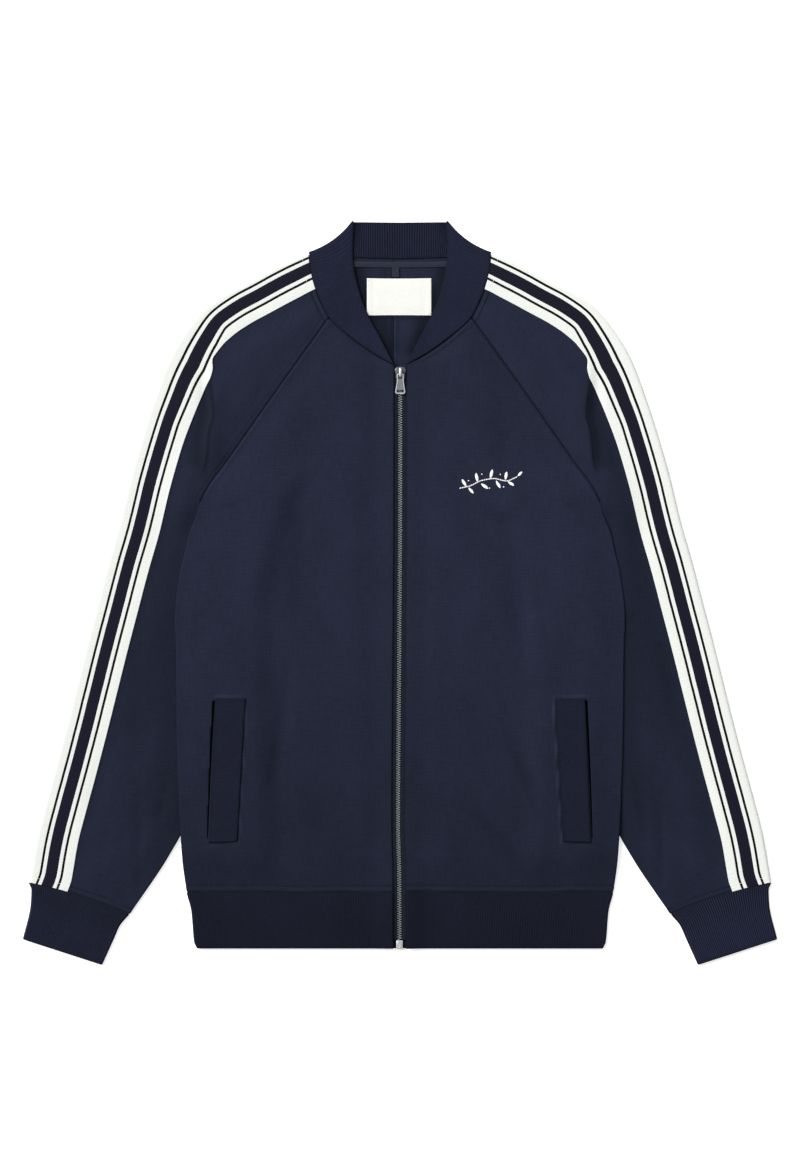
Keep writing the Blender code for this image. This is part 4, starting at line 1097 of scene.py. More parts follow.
def sleeveMid(side, sign):
    # the whole sleeve, from its front seam over the fold to its back seam
    rowsOf = sleeveFrame()
    plan, drop, fromSeam = sleevePlan(rowsOf)
    x, y = plan[..., 0], plan[..., 1]
    reach = np.linalg.norm(plan - rowsOf["front"][:, None], axis=2)
    rise = rowsOf["frontRise"][:, None] * (1 - ease(reach / sleeve["riseReach"]))
    # below the armpit, the sleeve sinks beside the body
    fromArmpit = np.hypot(x - body["sideX"][-1], y - cloth["armpit"])
    sinking = (1 - ease((x - sideX(y) - 0.5) / 22)) * ease((cloth["armpit"] - y) / 40)
    beside = cloth["bodyRise"] * (1 - ease(fromArmpit / sleeve["riseReach"])) * (1 - sinking)
    rise = np.where((rowsOf["t"] > armpitRow)[:, None], beside, rise)
    fromEnds = ease((rowsOf["t"] - 0.05) / 0.5) * ease((lastRow - rowsOf["t"]) / 0.6)
    soft = shoulderFold(x, y) * ease(reach / 5) + creaseHeight(sign * x, y, sleeveCreases[side])
    fromFold = np.linalg.norm(plan - rowsOf["outer"][:, None], axis=2) - 46
    soft = soft + sleeve["loft"] * ease(fromSeam / 30) * ease(fromFold / 22)
    z = cloth["frontZ"] + rise + soft * fromEnds[:, None] * ease(fromSeam / 6) - drop
    under = np.array([sleeveUnder(rowsOf, k) for k in range(len(rowsOf["t"]))])
    mid = np.concatenate([np.dstack([x, y, z]), under], axis=1)
    uv = uvOf(runAcross(mid, 1), runOf(rowsOf["outer"])[:, None])
    x, y = mid[..., 0], mid[..., 1]
    # painted shade: darker beside the body, where its edge shades the sleeve, outside the shoulder fold with
    # a dark line along it, in crease troughs, lighter on ridges, and in the stitched bands
    away, share, sideOf = nearPath(x, y, pathPoints(sleeve["foldPath"], 6))
    shade = lineOf(sleeve, "shadeY", "shade")(y) * (1 - 0.24 * bump(x - sideX(y), 26) * ease((115 - y) / 130))
    onFold = ease(share / 0.15) * ease((1 - share) / 0.1)
    shade *= 1 - onFold * (0.36 * bump(away - 9, 13) * (sideOf < 0) + 0.5 * bump(away, 1.5))
    height = creaseHeight(sign * x, y, sleeveCreases[side])
    shade *= np.clip(1 + body["creaseShade"] * height, 0.68, 1.12)
    edges = edgeDistances(mid)
    byNeck = np.where(edges["first"] < 90, stitchedBand(edges["high"], sleeve["neckStitch"]), 1)
    shade *= stitchedBand(edges["low"], sleeve["cuffStitch"]) * byNeck
    return mid, uv, rowsOf, shade


def sleeveRelief(mid, rowsOf):
    # the topstitching's groove beside the raglan seam and above the cuff
    edges = edgeDistances(mid)
    raglan = (rowsOf["t"] < armpitRow + 0.4)[:, None]
    onSeam = edges["first"] < 60
    relief = -1.3 * body["groove"] * bump(edges["first"] - body["raglanStitch"], 0.8) * raglan * onSeam
    relief -= seamDip(edges["first"]) * raglan * onSeam + seamDip(edges["low"])
    band = 0.3 * seamBand(edges["low"], sleeve["cuffStitch"] - 0.6)
    return relief + band - body["groove"] * bump(edges["low"] - sleeve["cuffStitch"], 0.7)


def tapeMid(mid, uv, rowsOf):
    # laid on the sleeve's own points, moved out by both walls
    across, along = slopesOf(mid, False)
    outward = unit(np.cross(across, along))
    lift = cloth["jersey"] / 2 + tape["lift"] + cloth["tape"] / 2
    first = sleeve["topColumns"] - 1
    arc = int(round(tape["end"] / 180 * (sleeve["foldColumns"] + 1)))
    last = first + sleeve["tapeColumns"] + arc
    wraps = lineOf(tape, "wrapRows", "wraps")(rowsOf["t"])
    stretches = np.interp(rowsOf["t"], tape["stretchRows"], tape["stretches"])
    rim = edgeSteps(cloth["tape"])
    grid, places = [], []
    for k in range(len(mid)):
        line = mid[k, first:last] + outward[k, first:last] * lift
        run = runOf(line)
        at = spreadOut(run[-1], rim, rim, tape["columns"])
        grid.append(np.stack([np.interp(at, run, line[:, c]) for c in range(3)], axis=1))
        places.append(wraps[k] + (run[-1] - at) / stretches[k])
    return np.array(grid), uvOf(np.array(places), uv[:, :1, 1])


def tapeRelief(mid, uv):
    # shallow grooves where the colours meet, and the inner edge's stitch line
    grooves = sum(bump(uv[..., 0] - end, 0.6) for end in braid["ends"])
    return -0.16 * grooves - 0.12 * bump(edgeDistances(mid)["first"] - 1.6, 0.5)


sleeves, tapes, tapePlaces = {}, {}, {}
for side, sign in sides.items():
    mid, uv, rowsOf, shade = sleeveMid(side, sign)
    sleeves[side] = thickSheet(f"sleevePanel_{side}", f"sleeve_{side}", mid, cloth["jersey"], uv,
                               jerseyKnit, sleeveRelief(mid, rowsOf), sign=sign, shade=shade)
    tapeGrid, tapeUv = tapeMid(mid, uv, rowsOf)
    tapes[side] = thickSheet(f"stripedTape_{side}", f"sleeve_tape_{side}", tapeGrid, cloth["tape"], tapeUv,
                             stripedBraid, tapeRelief(tapeGrid, tapeUv), sign=sign)
    tapePlaces[side] = (tapeGrid[..., :2].reshape(-1, 2) * (sign, 1), tapeUv[..., 0].ravel())
print("sleeves and tapes made:", len(sleeves["left"].data.polygons), "faces each sleeve")


# ---- ribbed pieces: collar, hem, cuffs and pocket welts

def ribProfile(position):
    # rounded ribs with narrow grooves between them
    return rib["depth"] * (2 * np.abs(np.sin(math.pi * position / rib["pitch"])) ** 0.7 - 1.2)


def ribPlaces(length, half):
    # four columns to each rib, and a rounded edge at the start
    ribs = round((length - half) / rib["pitch"])
    even = half + np.linspace(0, length - half, 4 * ribs + 1)
    return np.concatenate([rimShares[:-1] * half, even])


def ribPhase(places, length, half):
    # where each column is among the ribs, along a piece and back along its mirrored half
    ribs = round((length - half) / rib["pitch"])
    phase = (places - half) * ribs * rib["pitch"] / (length - half)
    return np.concatenate([phase, 2 * phase[-1] - phase[-2::-1]])


collar = {
    "edgeX": (8.4, 21.5, 30.5, 39.5, 44.5, 47.2, 48.4, 48.8),
    "edgeY": (238.7, 264.5, 281, 302.5, 320.5, 334, 350, 383),
    "topMid": 380.8, "shares": (0, 0.3, 0.55, 0.78, 1.0), "rows": 25, "wingBow": 4.5, "frontRibs": 0.35,
    "seamAt": (0, 30, 44, 62), "edgeAt": (0, 30, 40.5, 43.2),     # behind, where ribs start and end
    "bands": [((60, 262), (52, 276), -0.3), ((82, 300), (66, 318), 0.35), ((88, 330), (62, 352), -0.3)],
}


def collarMid():
    radius = (cloth["rib"] + cloth["ribAir"]) / 2
    seam = [(neckX(y) - seamShift(neckX, y), y) for y in body["neckY"][:-1]]
    seam = np.array(seam + list(neckCurve(-cloth["seamGap"] / 2)(collar["shares"])))
    edge = np.stack([collar["edgeX"], collar["edgeY"]], axis=1)
    outward = squareTo(edge[-1] - seam[-1])
    seam[-1] -= outward * (radius + cloth["rib"] / 2)
    edge[-1] -= outward * (radius + cloth["rib"] / 2)
    along = runOf(seam)
    frontLength, foldLength = along[-1], math.pi * radius
    base = seam[-1]
    baseY = smoothLine((0, body["backTop"][0], base[0]),
                       [y + cloth["closeGap"] / 2 for y in (cloth["neckBack"], body["backTop"][1], base[1])])
    topX = smoothLine((*collar["seamAt"], base[0]), (*collar["edgeAt"], edge[-1][0]))
    length = frontLength + foldLength + base[0]
    places = ribPlaces(length, cloth["rib"] / 2)
    onFront, onBack = places <= frontLength, places >= frontLength + foldLength
    turn = np.clip((places - frontLength) / radius, 0, math.pi)
    out = np.where(onBack, 0, radius * np.sin(turn))
    z = cloth["rib"] / 2 + radius + radius * np.cos(turn)
    low, high = (np.column_stack([smoothLine(along, corners[:, c])(np.minimum(places, frontLength))
                                  + out * outward[c] for c in (0, 1)] + [z]) for corners in (seam, edge))
    x = np.maximum(length - places[onBack], 0)
    low[onBack, 0], low[onBack, 1] = x, baseY(x)
    high[onBack, 0] = topX(x)
    high[onBack, 1] = collar["topMid"] + (edge[-1][1] - collar["topMid"]) * topX(x) / edge[-1][0]
    steps = edgeSteps(cloth["rib"])
    widths = np.linalg.norm(high - low, axis=1)
    shares = np.array([spreadOut(wide, steps, steps, collar["rows"]) / wide for wide in widths]).T
    half = low[None] + (high - low)[None] * shares[..., None]
    byFold = ease((places - frontLength + 48) / 48) * (1 - ease((places - frontLength - foldLength) / 45))
    half[..., :2] -= (collar["wingBow"] * arch(shares) * byFold)[..., None] * outward
    half[..., 2] += zipRise(half[..., 0]) * onFront
    fade = (places[None] / 6).clip(0, 1) * onFront
    for foot, top, rise in collar["bands"]:      # soft waves across the wings
        half[..., 2] += rise * bump(nearPath(half[..., 0], half[..., 1], (foot, top))[0], 7) * fade
    mid = np.concatenate([half, half[:, -2::-1] * (-1, 1, 1)], axis=1)
    run = ribPhase(places, length, cloth["rib"] / 2)
    # the ribs are flatter in front, where the collar is stretched, and their painted groove shade lighter
    parted = np.where(places < frontLength + foldLength, collar["frontRibs"], 1.0)
    parted = np.concatenate([parted, parted[-2::-1]])[None] * np.ones((len(mid), 1))
    across = np.linalg.norm(mid - mid[:1], axis=2)
    return mid, uvOf(run, across), ribProfile(run) * parted, parted


mid, uv, relief, parted = collarMid()
collarPiece = thickSheet("ribCollar", "collar", mid, cloth["rib"], uv, ribKnit, relief,
                         bothFaces=True, shade=np.where(parted < 1, 0.8, 0.88), ribShare=parted)

hem = {"corner": 2.2, "rows": 22, "ribs": 0.35,
       "creases": [fold(*row, start=0.05) for row in (
           (-0.5, 12, (-180, -318), (-172, -362)), (-0.4, 14, (-92, -316), (-86, -362)),
           (0.35, 12, (-130, -320), (-128, -360)), (-0.4, 13, (40, -316), (44, -362)),
           (0.4, 14, (120, -318), (116, -362)), (-0.45, 12, (176, -318), (170, -360)))]}


def hemMid():
    # from the left front edge round the left fold, the back and the right fold to the right front edge
    radius, lowZ = (cloth["rib"] + cloth["ribAir"]) / 2, cloth["rib"] / 2
    steps = edgeSteps(cloth["rib"])
    height = cloth["hemSeam"] - cloth["closeGap"] / 2 - cloth["hemEnd"]
    rows = cloth["hemEnd"] + spreadOut(height, steps, steps, hem["rows"])
    widest = sideX(cloth["hemSeam"]) - radius - cloth["rib"] / 2
    flat, bend = widest - cloth["frontEdge"], math.pi * radius
    length = flat + bend + widest
    places = ribPlaces(length, cloth["rib"] / 2)
    grid = np.zeros((len(rows), 2 * len(places) - 1, 3))
    for k, y in enumerate(rows):
        foldX = sideX(y) - radius - cloth["rib"] / 2
        foldX -= hem["corner"] * (1 - ease((y - rows[0]) / 5)) ** 2
        x = cloth["frontEdge"] + (foldX - cloth["frontEdge"]) * np.minimum(places / flat, 1)
        turn = np.clip((places - flat) / radius, 0, math.pi)
        back = np.clip((places - flat - bend) / widest, 0, 1)
        x = np.where(places > flat + bend, foldX * (1 - back), x + radius * np.sin(turn))
        z = lowZ + radius * (1 + np.cos(turn)) + zipRise(x) * (places <= flat)
        left = np.column_stack([x, np.full(len(x), y), z])
        right = left * (-1, 1, 1)
        near = (1 - ease((np.abs(x) - 14) / 40)) * (places <= flat)
        left[:, 0] += zipX(y) * near
        right[:, 0] += zipX(y) * near
        grid[k] = np.concatenate([left, right[-2::-1]])
    x, y = grid[..., 0], grid[..., 1]
    onTop = grid[..., 2] > lowZ + 1.6 * radius
    fromEdge = ease((np.abs(x) - 10) / 12)
    grid[..., 2] += creaseHeight(x, y, hem["creases"]) * onTop * fromEdge
    grid[..., 1] += hemWave(x) * ease((y + 340) / 30) * onTop
    run = ribPhase(places, length, cloth["rib"] / 2)
    parted = hem["ribs"] * (1 + 0.5 * np.sin(x / 17 + 2 * np.sin(x / 41)))
    return grid, uvOf(run, y), ribProfile(run) * parted, parted


mid, uv, relief, parted = hemMid()
shade = np.clip(0.45 + 0.07 * (mid[..., 1] + 312) / 54, 0.4, 1)      # darker towards its open edge
hemPiece = thickSheet("ribHem", "hem_rib", mid, cloth["rib"], uv, ribKnit, relief, shade=shade,
                      ribShare=parted)

cuff = {"outerX": (382.3, 379.1, 379.6, 388.0), "outerY": (-298.2, -306, -319, -357.1),
        "innerX": (278.5, 288.5, 293.8, 306.9), "innerY": (-331.0, -342.6, -354.4, -383.4),
        "long": 60.0, "rows": 26, "ribs": 84, "seamGap": -0.1, "shade": 1.14}


def cuffMid():
    # a flattened tube: its upper layer from the outer fold to the inner one, then its lower layer back
    radius = (cloth["cuffRib"] + cloth["ribAir"]) / 2
    middle = cloth["cuffRib"] / 2 + radius
    knots = np.array((0, 0.19, 0.39, 1.0))
    steps = edgeSteps(cloth["cuffRib"])
    # from the open end up
    shares = spreadOut(cuff["long"], steps, steps, cuff["rows"])[::-1] / cuff["long"]
    outer, inner = (np.stack([smoothLine(knots, cuff[end + c])(shares) for c in "XY"], axis=1)
                    for end in ("outer", "inner"))
    columns = np.arange(4 * cuff["ribs"] + 1)
    grid = []
    for k, share in enumerate(shares):
        across = unit(inner[k] - outer[k])
        drop = np.array((-across[1], across[0])) * cuff["seamGap"] * (1 - ease(share / 0.12))
        a = outer[k] + across * (radius + cloth["cuffRib"] / 2) + drop
        b = inner[k] - across * (radius + cloth["cuffRib"] / 2) + drop
        width, arc = np.linalg.norm(b - a), math.pi * radius
        at = columns[:-1] * (2 * width + 2 * arc) / (4 * cuff["ribs"])
        onLow = at > width + arc
        top, under = np.clip(at / width, 0, 1), np.clip((at - width - arc) / width, 0, 1)
        turn, turnBack = (np.clip((at - start) / radius, 0, math.pi) for start in (width, 2 * width + arc))
        plan = np.where(onLow[:, None], b + (a - b) * under[:, None], a + (b - a) * top[:, None])
        plan = plan + across * (radius * np.where(onLow, -np.sin(turnBack), np.sin(turn)))[:, None]
        z = middle + radius * np.where(onLow, -np.cos(turnBack), np.cos(turn))
        bow = sleeve["seamBow"] * (1 - ease(share / 0.35))
        plan = np.where((at < width)[:, None], bowUp(plan, outer[k], inner[k], bow), plan)
        grid.append(np.column_stack([plan, z]))
    places, along = columns * rib["pitch"] / 4, shares[:, None]
    parted = 1.9 - 0.8 * ease(along / 0.6)      # more painted shade in the grooves where the seam gathers them
    return np.array(grid), uvOf(places, along * cuff["long"]), ribProfile(places[:-1]), parted


for side, sign in sides.items():
    mid, uv, relief, parted = cuffMid()
    # its columns run inwards, so the mirrored side is the one that needs no turning
    thickSheet(f"ribCuff_{side}", f"cuff_{side}", mid[:, ::-1], cloth["cuffRib"],
                             uv[:, ::-1], ribKnit, relief, ring=True, sign=sign,
                             shade=cuff["shade"], ribShare=parted)


def weltMid(side, sign):
    # laid on its front panel, ribs across it
    length, half, count = pocket["long"], pocket["thick"] / 2, pocket["ribCount"]
    rim = rimShares[:-1] * half
    rows = np.concatenate([rim, np.linspace(half, length - half, 4 * count + 1), length - rim[::-1]]) / length
    steps = edgeSteps(pocket["thick"])
    columns = spreadOut(pocket["wide"], steps, steps, 24) / pocket["wide"]
    corners = [np.array(pocket[key]) for key in ("lowIn", "topIn", "lowOut", "topOut")]
    inner = corners[0] + (corners[1] - corners[0]) * rows[:, None]
    outer = corners[2] + (corners[3] - corners[2]) * rows[:, None]
    plan = inner[:, None] + (outer - inner)[:, None] * columns[None, :, None]
    lift = pocket["lift"] + half
    z = np.array([[heightOn(surfaces[side], sign * x, y) for x, y in row] for row in plan]) + lift
    phase = (rows[:, None] * length - half) * count * rib["pitch"] / (length - 2 * half)
    relief = pocket["ribs"] * ribProfile(phase)
    return np.dstack([plan, z]), uvOf(phase, columns[None] * pocket["wide"]), relief


for side, sign in sides.items():
    mid, uv, relief = weltMid(side, sign)
    thickSheet(f"pocketWelt_{side}", f"pocket_welt_{side}", mid, pocket["thick"], uv,
                             ribKnit, relief, sign=sign, shade=pocket["shade"], ribShare=pocket["ribs"])
print("ribs made: collar", len(collarPiece.data.polygons), "hem", len(hemPiece.data.polygons))


# ---- inside the neck: tape, hanger and label

neck = {"tapeHalf": 66.0, "tapeTop": 341.7, "tapeWidth": 6.0, "tapeThick": 0.5, "tapeDip": 1.5, "z": 1.75,
        "backTop": 1.5,       # how high the inside of the back is
        "hangerX": -4.5, "hangerTop": 334.6, "hangerWidth": 7.3, "hangerLength": 10.6, "hangerThick": 0.42,
        "hangerBend": 0.24,
        "labelX": -0.9, "labelTop": 323.0, "labelWidth": 66.3, "labelHeight": 37.7, "labelThick": 0.4,
        "labelFold": 5.0}


def neckTapeMid():
    steps = edgeSteps(neck["tapeThick"])
    x = -neck["tapeHalf"] + spreadOut(2 * neck["tapeHalf"], steps, steps, 90)[None]
    down = spreadOut(neck["tapeWidth"], steps, steps, 18)[::-1, None]
    dip = neck["tapeDip"] * (1 - (x / neck["tapeHalf"]) ** 2)
    y = neck["tapeTop"] - dip - down
    z = neck["z"] + 0.18 * bump(down - 3, 1.6) + 0.05 * np.sin(x / 7)
    return np.stack(np.broadcast_arrays(x, y, z), axis=2), uvOf(x, -down)


mid, uv = neckTapeMid()
neckTape = thickSheet("neckTape", "neck_tape", mid, neck["tapeThick"], uv, cottonTape)


def hangerMid():
    # a strip folded back on itself: down from under the neck tape, round, and up again
    half, bend = neck["hangerThick"] / 2, neck["hangerBend"]
    steps = edgeSteps(neck["hangerThick"])
    length = neck["hangerLength"]
    run = spreadOut(2 * length + math.pi * bend, steps, steps, 56)
    foot = neck["hangerTop"] - length + bend
    turn = np.clip((run - length) / bend, 0, math.pi)
    back = run - length - math.pi * bend
    y = foot + np.where(run < length, length - run, np.where(back > 0, back, -bend * np.sin(turn)))
    z = neck["backTop"] + half + bend * (1 - np.cos(turn)) + 0.15 * bump(y - foot - 2, 3) * (run > length)
    across = spreadOut(neck["hangerWidth"], steps, steps, 18)
    x = neck["hangerX"] + across - neck["hangerWidth"] / 2
    grid = np.stack(np.broadcast_arrays(x[None], y[:, None], z[:, None]), axis=2)
    return grid, uvOf(across[None], run[:, None])


mid, uv = hangerMid()
hanger = thickSheet("hangerLoop", "hanger_loop", mid[::-1], neck["hangerThick"], uv[::-1],
                    cottonTape)


def labelMid():
    width, height, turnUp = neck["labelWidth"], neck["labelHeight"], neck["labelFold"]
    byEnd = edgeSteps(neck["labelThick"], (1.2, 2.4, turnUp - 0.8, turnUp, turnUp + 0.8, turnUp + 2))
    byTop = edgeSteps(neck["labelThick"], (1, 2))
    across, up = spreadOut(width, byEnd, byEnd, 64), spreadOut(height, byTop, byTop, 40)
    fromEnd, fromTop = np.minimum(across, width - across)[None], np.minimum(up, height - up)[:, None]
    # the ends are folded under and stand higher
    turned = 0.16 * (1 - ease((fromEnd - turnUp + 0.7) / 1.2))
    pillow = 0.22 * ease(fromEnd / 14) * ease(fromTop / 10)
    ripple = 0.07 * np.sin(across[None] / 6.5 + up[:, None] / 19) * ease(fromTop / 5)
    relief = turned + pillow + ripple - 0.12 * bump(fromTop - 1.3, 0.35)
    x = neck["labelX"] - width / 2 + across[None]
    y = neck["labelTop"] - height + up[:, None]
    y = y + 0.35 * (np.abs(x - neck["labelX"]) / (width / 2)) ** 2 * np.sign(up[:, None] - height / 2)
    z = neck["backTop"] + neck["labelThick"] / 2
    return np.stack(np.broadcast_arrays(x, y, z), axis=2), uvOf(across[None], up[:, None]), relief


mid, uv, relief = labelMid()
label = thickSheet("neckLabel", "neck_label", mid, neck["labelThick"], uv, satin, relief)
print("neck trim made")

# ---- the zip

zipper = {
    "tapeEdge": 2.45, "reach": 14.0, "top": 232.2, "teethTop": 218.9, "foot": -357.6,
    "pitch": 2.4, "toothWide": 2.75, "toothLong": 1.25, "toothThick": 1.7, "teethZ": 3.6, "half": 2.15,
    "headLong": 0.5, "headThick": 0.8, "toothBevel": 0.26,      # a tooth's head, as shares of its foot
    "boxSize": (6.8, 9.0, 2.4), "boxTop": -358.0, "grooveSize": (0.7, 6.4, 0.5),
    "sliderY": (219.5, 221.5, 224.0, 226.5, 228.7, 230.0, 231.0, 231.8),
    "sliderHalf": (4.6, 4.6, 4.7, 5.3, 5.8, 5.2, 4.2, 2.6),
    "plate": 0.9, "lowZ": 1.6, "topZ": 4.8, "postPlace": (229.4, 3.65), "postSize": (1.8, 3.7, 4.2),
    "bailWidth": 2.4, "bailTop": 231.3, "bailFoot": 221.2, "bailThick": 1.0, "bailRise": 3.2,
    "pullY": 224.0, "pullZ": 6.85, "pullTilt": math.radians(4), "pullThick": 1.2,
    "pullReach": (-0.6, -0.3, 0.6, 1.5, 4.0, 7.0, 11.0, 15.5, 17.4, 18.6, 19.5, 20.0),
    "pullHalf": (2.7, 3.2, 3.5, 3.5, 3.45, 3.5, 4.0, 4.85, 5.05, 5.0, 4.4, 3.4),
    "rimWide": 0.75, "rimStep": 0.2, "rimDeep": 0.28, "pullBevel": 0.18,
    "window": (0.6, 4.6, 2.1), "slot": (15.9, 18.2, 3.3),      # start, end and half the width of each
}


def zipTapeMid(sign):
    foot, top = zipper["foot"], zipper["top"]
    steps = edgeSteps(cloth["zipTape"])
    rows = foot + spreadOut(top - foot, steps, steps, 180)
    near = edgeSteps(cloth["zipTape"], (0.6, 0.9, 1.3))
    across = spreadOut(zipper["reach"] - zipper["tapeEdge"], near, steps, 24)
    x = zipper["tapeEdge"] + across[None] + 0 * rows[:, None]
    z = cloth["frontZ"] - cloth["jersey"] / 2 - cloth["gap"] - cloth["zipTape"] / 2 + zipRise(x)
    grid = np.dstack([x + sign * zipX(rows)[:, None], rows[:, None] + 0 * x, z])
    return grid, uvOf(across[None], rows[:, None]), 0.12 * np.sin(across * 2 * math.pi / 1.1)


for side, sign in sides.items():
    mid, uv, relief = zipTapeMid(sign)
    thickSheet(f"zipTape_{side}", f"zip_tape_{side}", mid, cloth["zipTape"], uv,
                                zipWeave, relief, sign=sign)


def addTeeth():
    # one tooth: a block with rounded edges, narrower at its head
    long, wide, thick = zipper["toothLong"], zipper["toothWide"], zipper["toothThick"]
    tooth = boxFrom("tooth", (zipper["half"] - wide / 2, 0, 0), (wide, long, thick))
    for vert in tooth.data.vertices:
        if vert.co.x < 0:
            vert.co.y *= zipper["headLong"]
            vert.co.z *= zipper["headThick"]
    applied(tooth, "BEVEL", width=zipper["toothBevel"] * mm, segments=1)
    moves = []
    count = int((zipper["teethTop"] - zipper["foot"]) / zipper["pitch"])
    for k in range(2 * count):
        y = zipper["foot"] + 0.8 + k * zipper["pitch"] / 2
        sign = 1 if k % 2 else -1
        moves.append((np.diag((sign, 1, 1)), (float(zipX(y)), y, zipper["teethZ"])))
    teeth = manyCopies("zipTeeth", tooth, moves, satinNickel, "zip_teeth")
    smoothByAngle(teeth, 30)
    return teeth


def addBox():
    wide, long, thick = zipper["boxSize"]
    centre = (float(zipX(cloth["hemEnd"])), zipper["boxTop"] - long / 2, zipper["teethZ"])
    box = boxFrom("zipBox", centre, (wide, long, thick), 0.5, 3)
    onTop = (centre[0], centre[1] + 0.6, centre[2] + thick / 2)
    joinTo(box, boxFrom("boxGroove", onTop, zipper["grooveSize"], 0.1), operation="DIFFERENCE")
    smoothByAngle(box)
    return dress(box, whiteNickel, node="zip_box")


def addSlider():
    middle = float(zipX(cloth["neckFront"]))
    right = list(zip(zipper["sliderHalf"], zipper["sliderY"]))
    outline = right + [(-x, y) for x, y in reversed(right)]
    thick = zipper["plate"]
    plates = [prismFrom("sliderPlate", [(x + middle, y, z) for x, y in outline], (0, 0, thick), 0.25)
              for z in (zipper["topZ"], zipper["lowZ"])]
    slider = plates[0]
    slider.name = "zipSlider"
    post = boxFrom("sliderPost", (middle, *zipper["postPlace"]), zipper["postSize"])
    foot = zipper["topZ"] + thick - 0.3
    top = zipper["topZ"] + thick + zipper["bailRise"]
    low, high, thick = zipper["bailFoot"], zipper["bailTop"], zipper["bailThick"]
    path = [(low, foot), (low, top - 1.3), (low + 0.45, top - 0.45), (low + 1.4, top), (high - 3.0, top),
            (high - 1.0, top - 0.8), (high, top - 2.2), (high, foot), (high - thick, foot),
            (high - thick, top - 2.5), (high - 1.9, top - 1.6), (high - 3.3, top - thick),
            (low + 1.7, top - thick), (low + thick, top - 1.6), (low + thick, foot)]
    half = zipper["bailWidth"] / 2
    bail = prismFrom("bail", [(middle - half, y, z) for y, z in path], (2 * half, 0, 0), 0.3)
    # the plates take the darker copy of the nickel, which paints shade, and the bail the matt nickel
    for solid, material in ((slider, shadedNickel), (bail, whiteNickel)):
        solid.data.materials.append(material)
    joinTo(slider, plates[1], post, bail)
    smoothByAngle(slider)
    return dress(slider, node="zip_slider")


def addPull():
    # a plate whose rim stands round a lower, duller field, with a window for the bail and a slot near its end
    right = list(zip(zipper["pullHalf"], zipper["pullReach"]))
    outline = [(x, -y, -zipper["pullThick"] / 2) for x, y in right]
    outline += [(-x, y, z) for x, y, z in reversed(outline)]
    pull = prismFrom("zipPull", outline, (0, 0, zipper["pullThick"]))
    pull.data.materials.append(whiteNickel)
    pull.data.materials.append(nickel)
    inEditMode(pull, lambda: bpy.ops.mesh.select_all(action="DESELECT"))
    for face in pull.data.polygons:
        face.select = face.normal.z > 0.9
    bpy.ops.object.mode_set(mode="EDIT")
    bpy.ops.mesh.select_mode(type="FACE")
    bpy.ops.mesh.inset(thickness=zipper["rimWide"] * mm)
    pull.active_material_index = 1
    bpy.ops.object.material_slot_assign()
    bpy.ops.mesh.inset(thickness=zipper["rimStep"] * mm)
    bpy.ops.transform.translate(value=(0, 0, -zipper["rimDeep"] * mm))
    bpy.ops.object.mode_set(mode="OBJECT")
    applied(pull, "BEVEL", width=zipper["pullBevel"] * mm, segments=2, limit_method="ANGLE",
            angle_limit=math.radians(40))
    for near, far, half in (zipper["window"], zipper["slot"]):
        hole = boxFrom("hole", (0, -(near + far) / 2, 0), (2 * half, far - near, 4), 0.4)
        joinTo(pull, hole, operation="DIFFERENCE")
    tilt = zipper["pullTilt"]
    for vert in pull.data.vertices:
        y, z = vert.co.y, vert.co.z
        vert.co.x += float(zipX(cloth["neckFront"])) * mm
        vert.co.y = y * math.cos(tilt) - z * math.sin(tilt) + zipper["pullY"] * mm
        vert.co.z = y * math.sin(tilt) + z * math.cos(tilt) + zipper["pullZ"] * mm
    smoothByAngle(pull)
    return dress(pull, body=pullName, node="zip_pull")


teeth, zipBox, slider, pull = addTeeth(), addBox(), addSlider(), addPull()
print("zip made:", len(teeth.data.polygons), "faces of teeth")


# ---- stitches and embroidery

stitch = {"long": 2.7, "gap": 0.7, "thick": 0.42, "lift": 0.02, "steep": 1.5}
tapeStitch = {"long": 2.2, "gap": 0.9, "thick": 0.36, "lift": 0.02}
stemStitch = {"long": 2.4, "gap": 0.0, "thick": 0.55, "lift": 0.12}


def sewn(name, moves, thread):
    # one stitch, copied: a short thread, full in the middle and drawn in at both ends
    bpy.ops.mesh.primitive_cylinder_add(vertices=5, radius=0.5, depth=0.8, end_fill_type="TRIFAN")
    one = bpy.context.object
    for vert in one.data.vertices:      # laid along x, one unit long, with pointed ends
        x, y, z = vert.co
        vert.co = Vector((z * (1.25 if math.hypot(x, y) < 0.01 else 0.9), x, y)) * mm
    inEditMode(one, lambda: bpy.ops.mesh.normals_make_consistent(inside=False))
    return manyCopies(name, one, moves, thread)


def onSurface(tree, x, y, lift):
    return np.array((x, y, heightOn(tree, x, y) + lift))


def threadMove(tree, start, end, lift, thick):
    # the turn and place that lay a stitch from start to end on what is under it
    start, end = onSurface(tree, *start, lift), onSurface(tree, *end, lift)
    length = np.linalg.norm(end - start)
    along = (end - start) / length
    across = unit(np.cross((0, 0, 1), along))
    up = np.cross(along, across)
    return np.column_stack([along * length, across * thick, up * thick * 0.8]), (start + end) / 2


def stitchMoves(tree, *paths, spec=stitch):
    # stitches one after another along each path, but none down a steep edge
    moves = []
    for path in paths:
        run = runOf(path)
        pitch = spec["long"] + spec["gap"]
        for k in range(int(run[-1] / pitch)):
            along = k * pitch, k * pitch + spec["long"]
            ends = [[np.interp(at, run, path[:, c]) for c in (0, 1)] for at in along]
            turn, place = threadMove(tree, *ends, spec["lift"], spec["thick"])
            if abs(turn[2, 0]) < stitch["steep"]:
                moves.append((turn, place))
    return moves


def beside(line, low, high, count, away):
    # a path at a distance to the outer side of a seam given as x by y
    heights = np.linspace(low, high, count)
    slope = slopeOf(line, heights)
    across = np.stack([np.ones(count), -slope], axis=1) / np.hypot(1, slope)[:, None]
    return np.column_stack([line(heights), heights]) + across * away


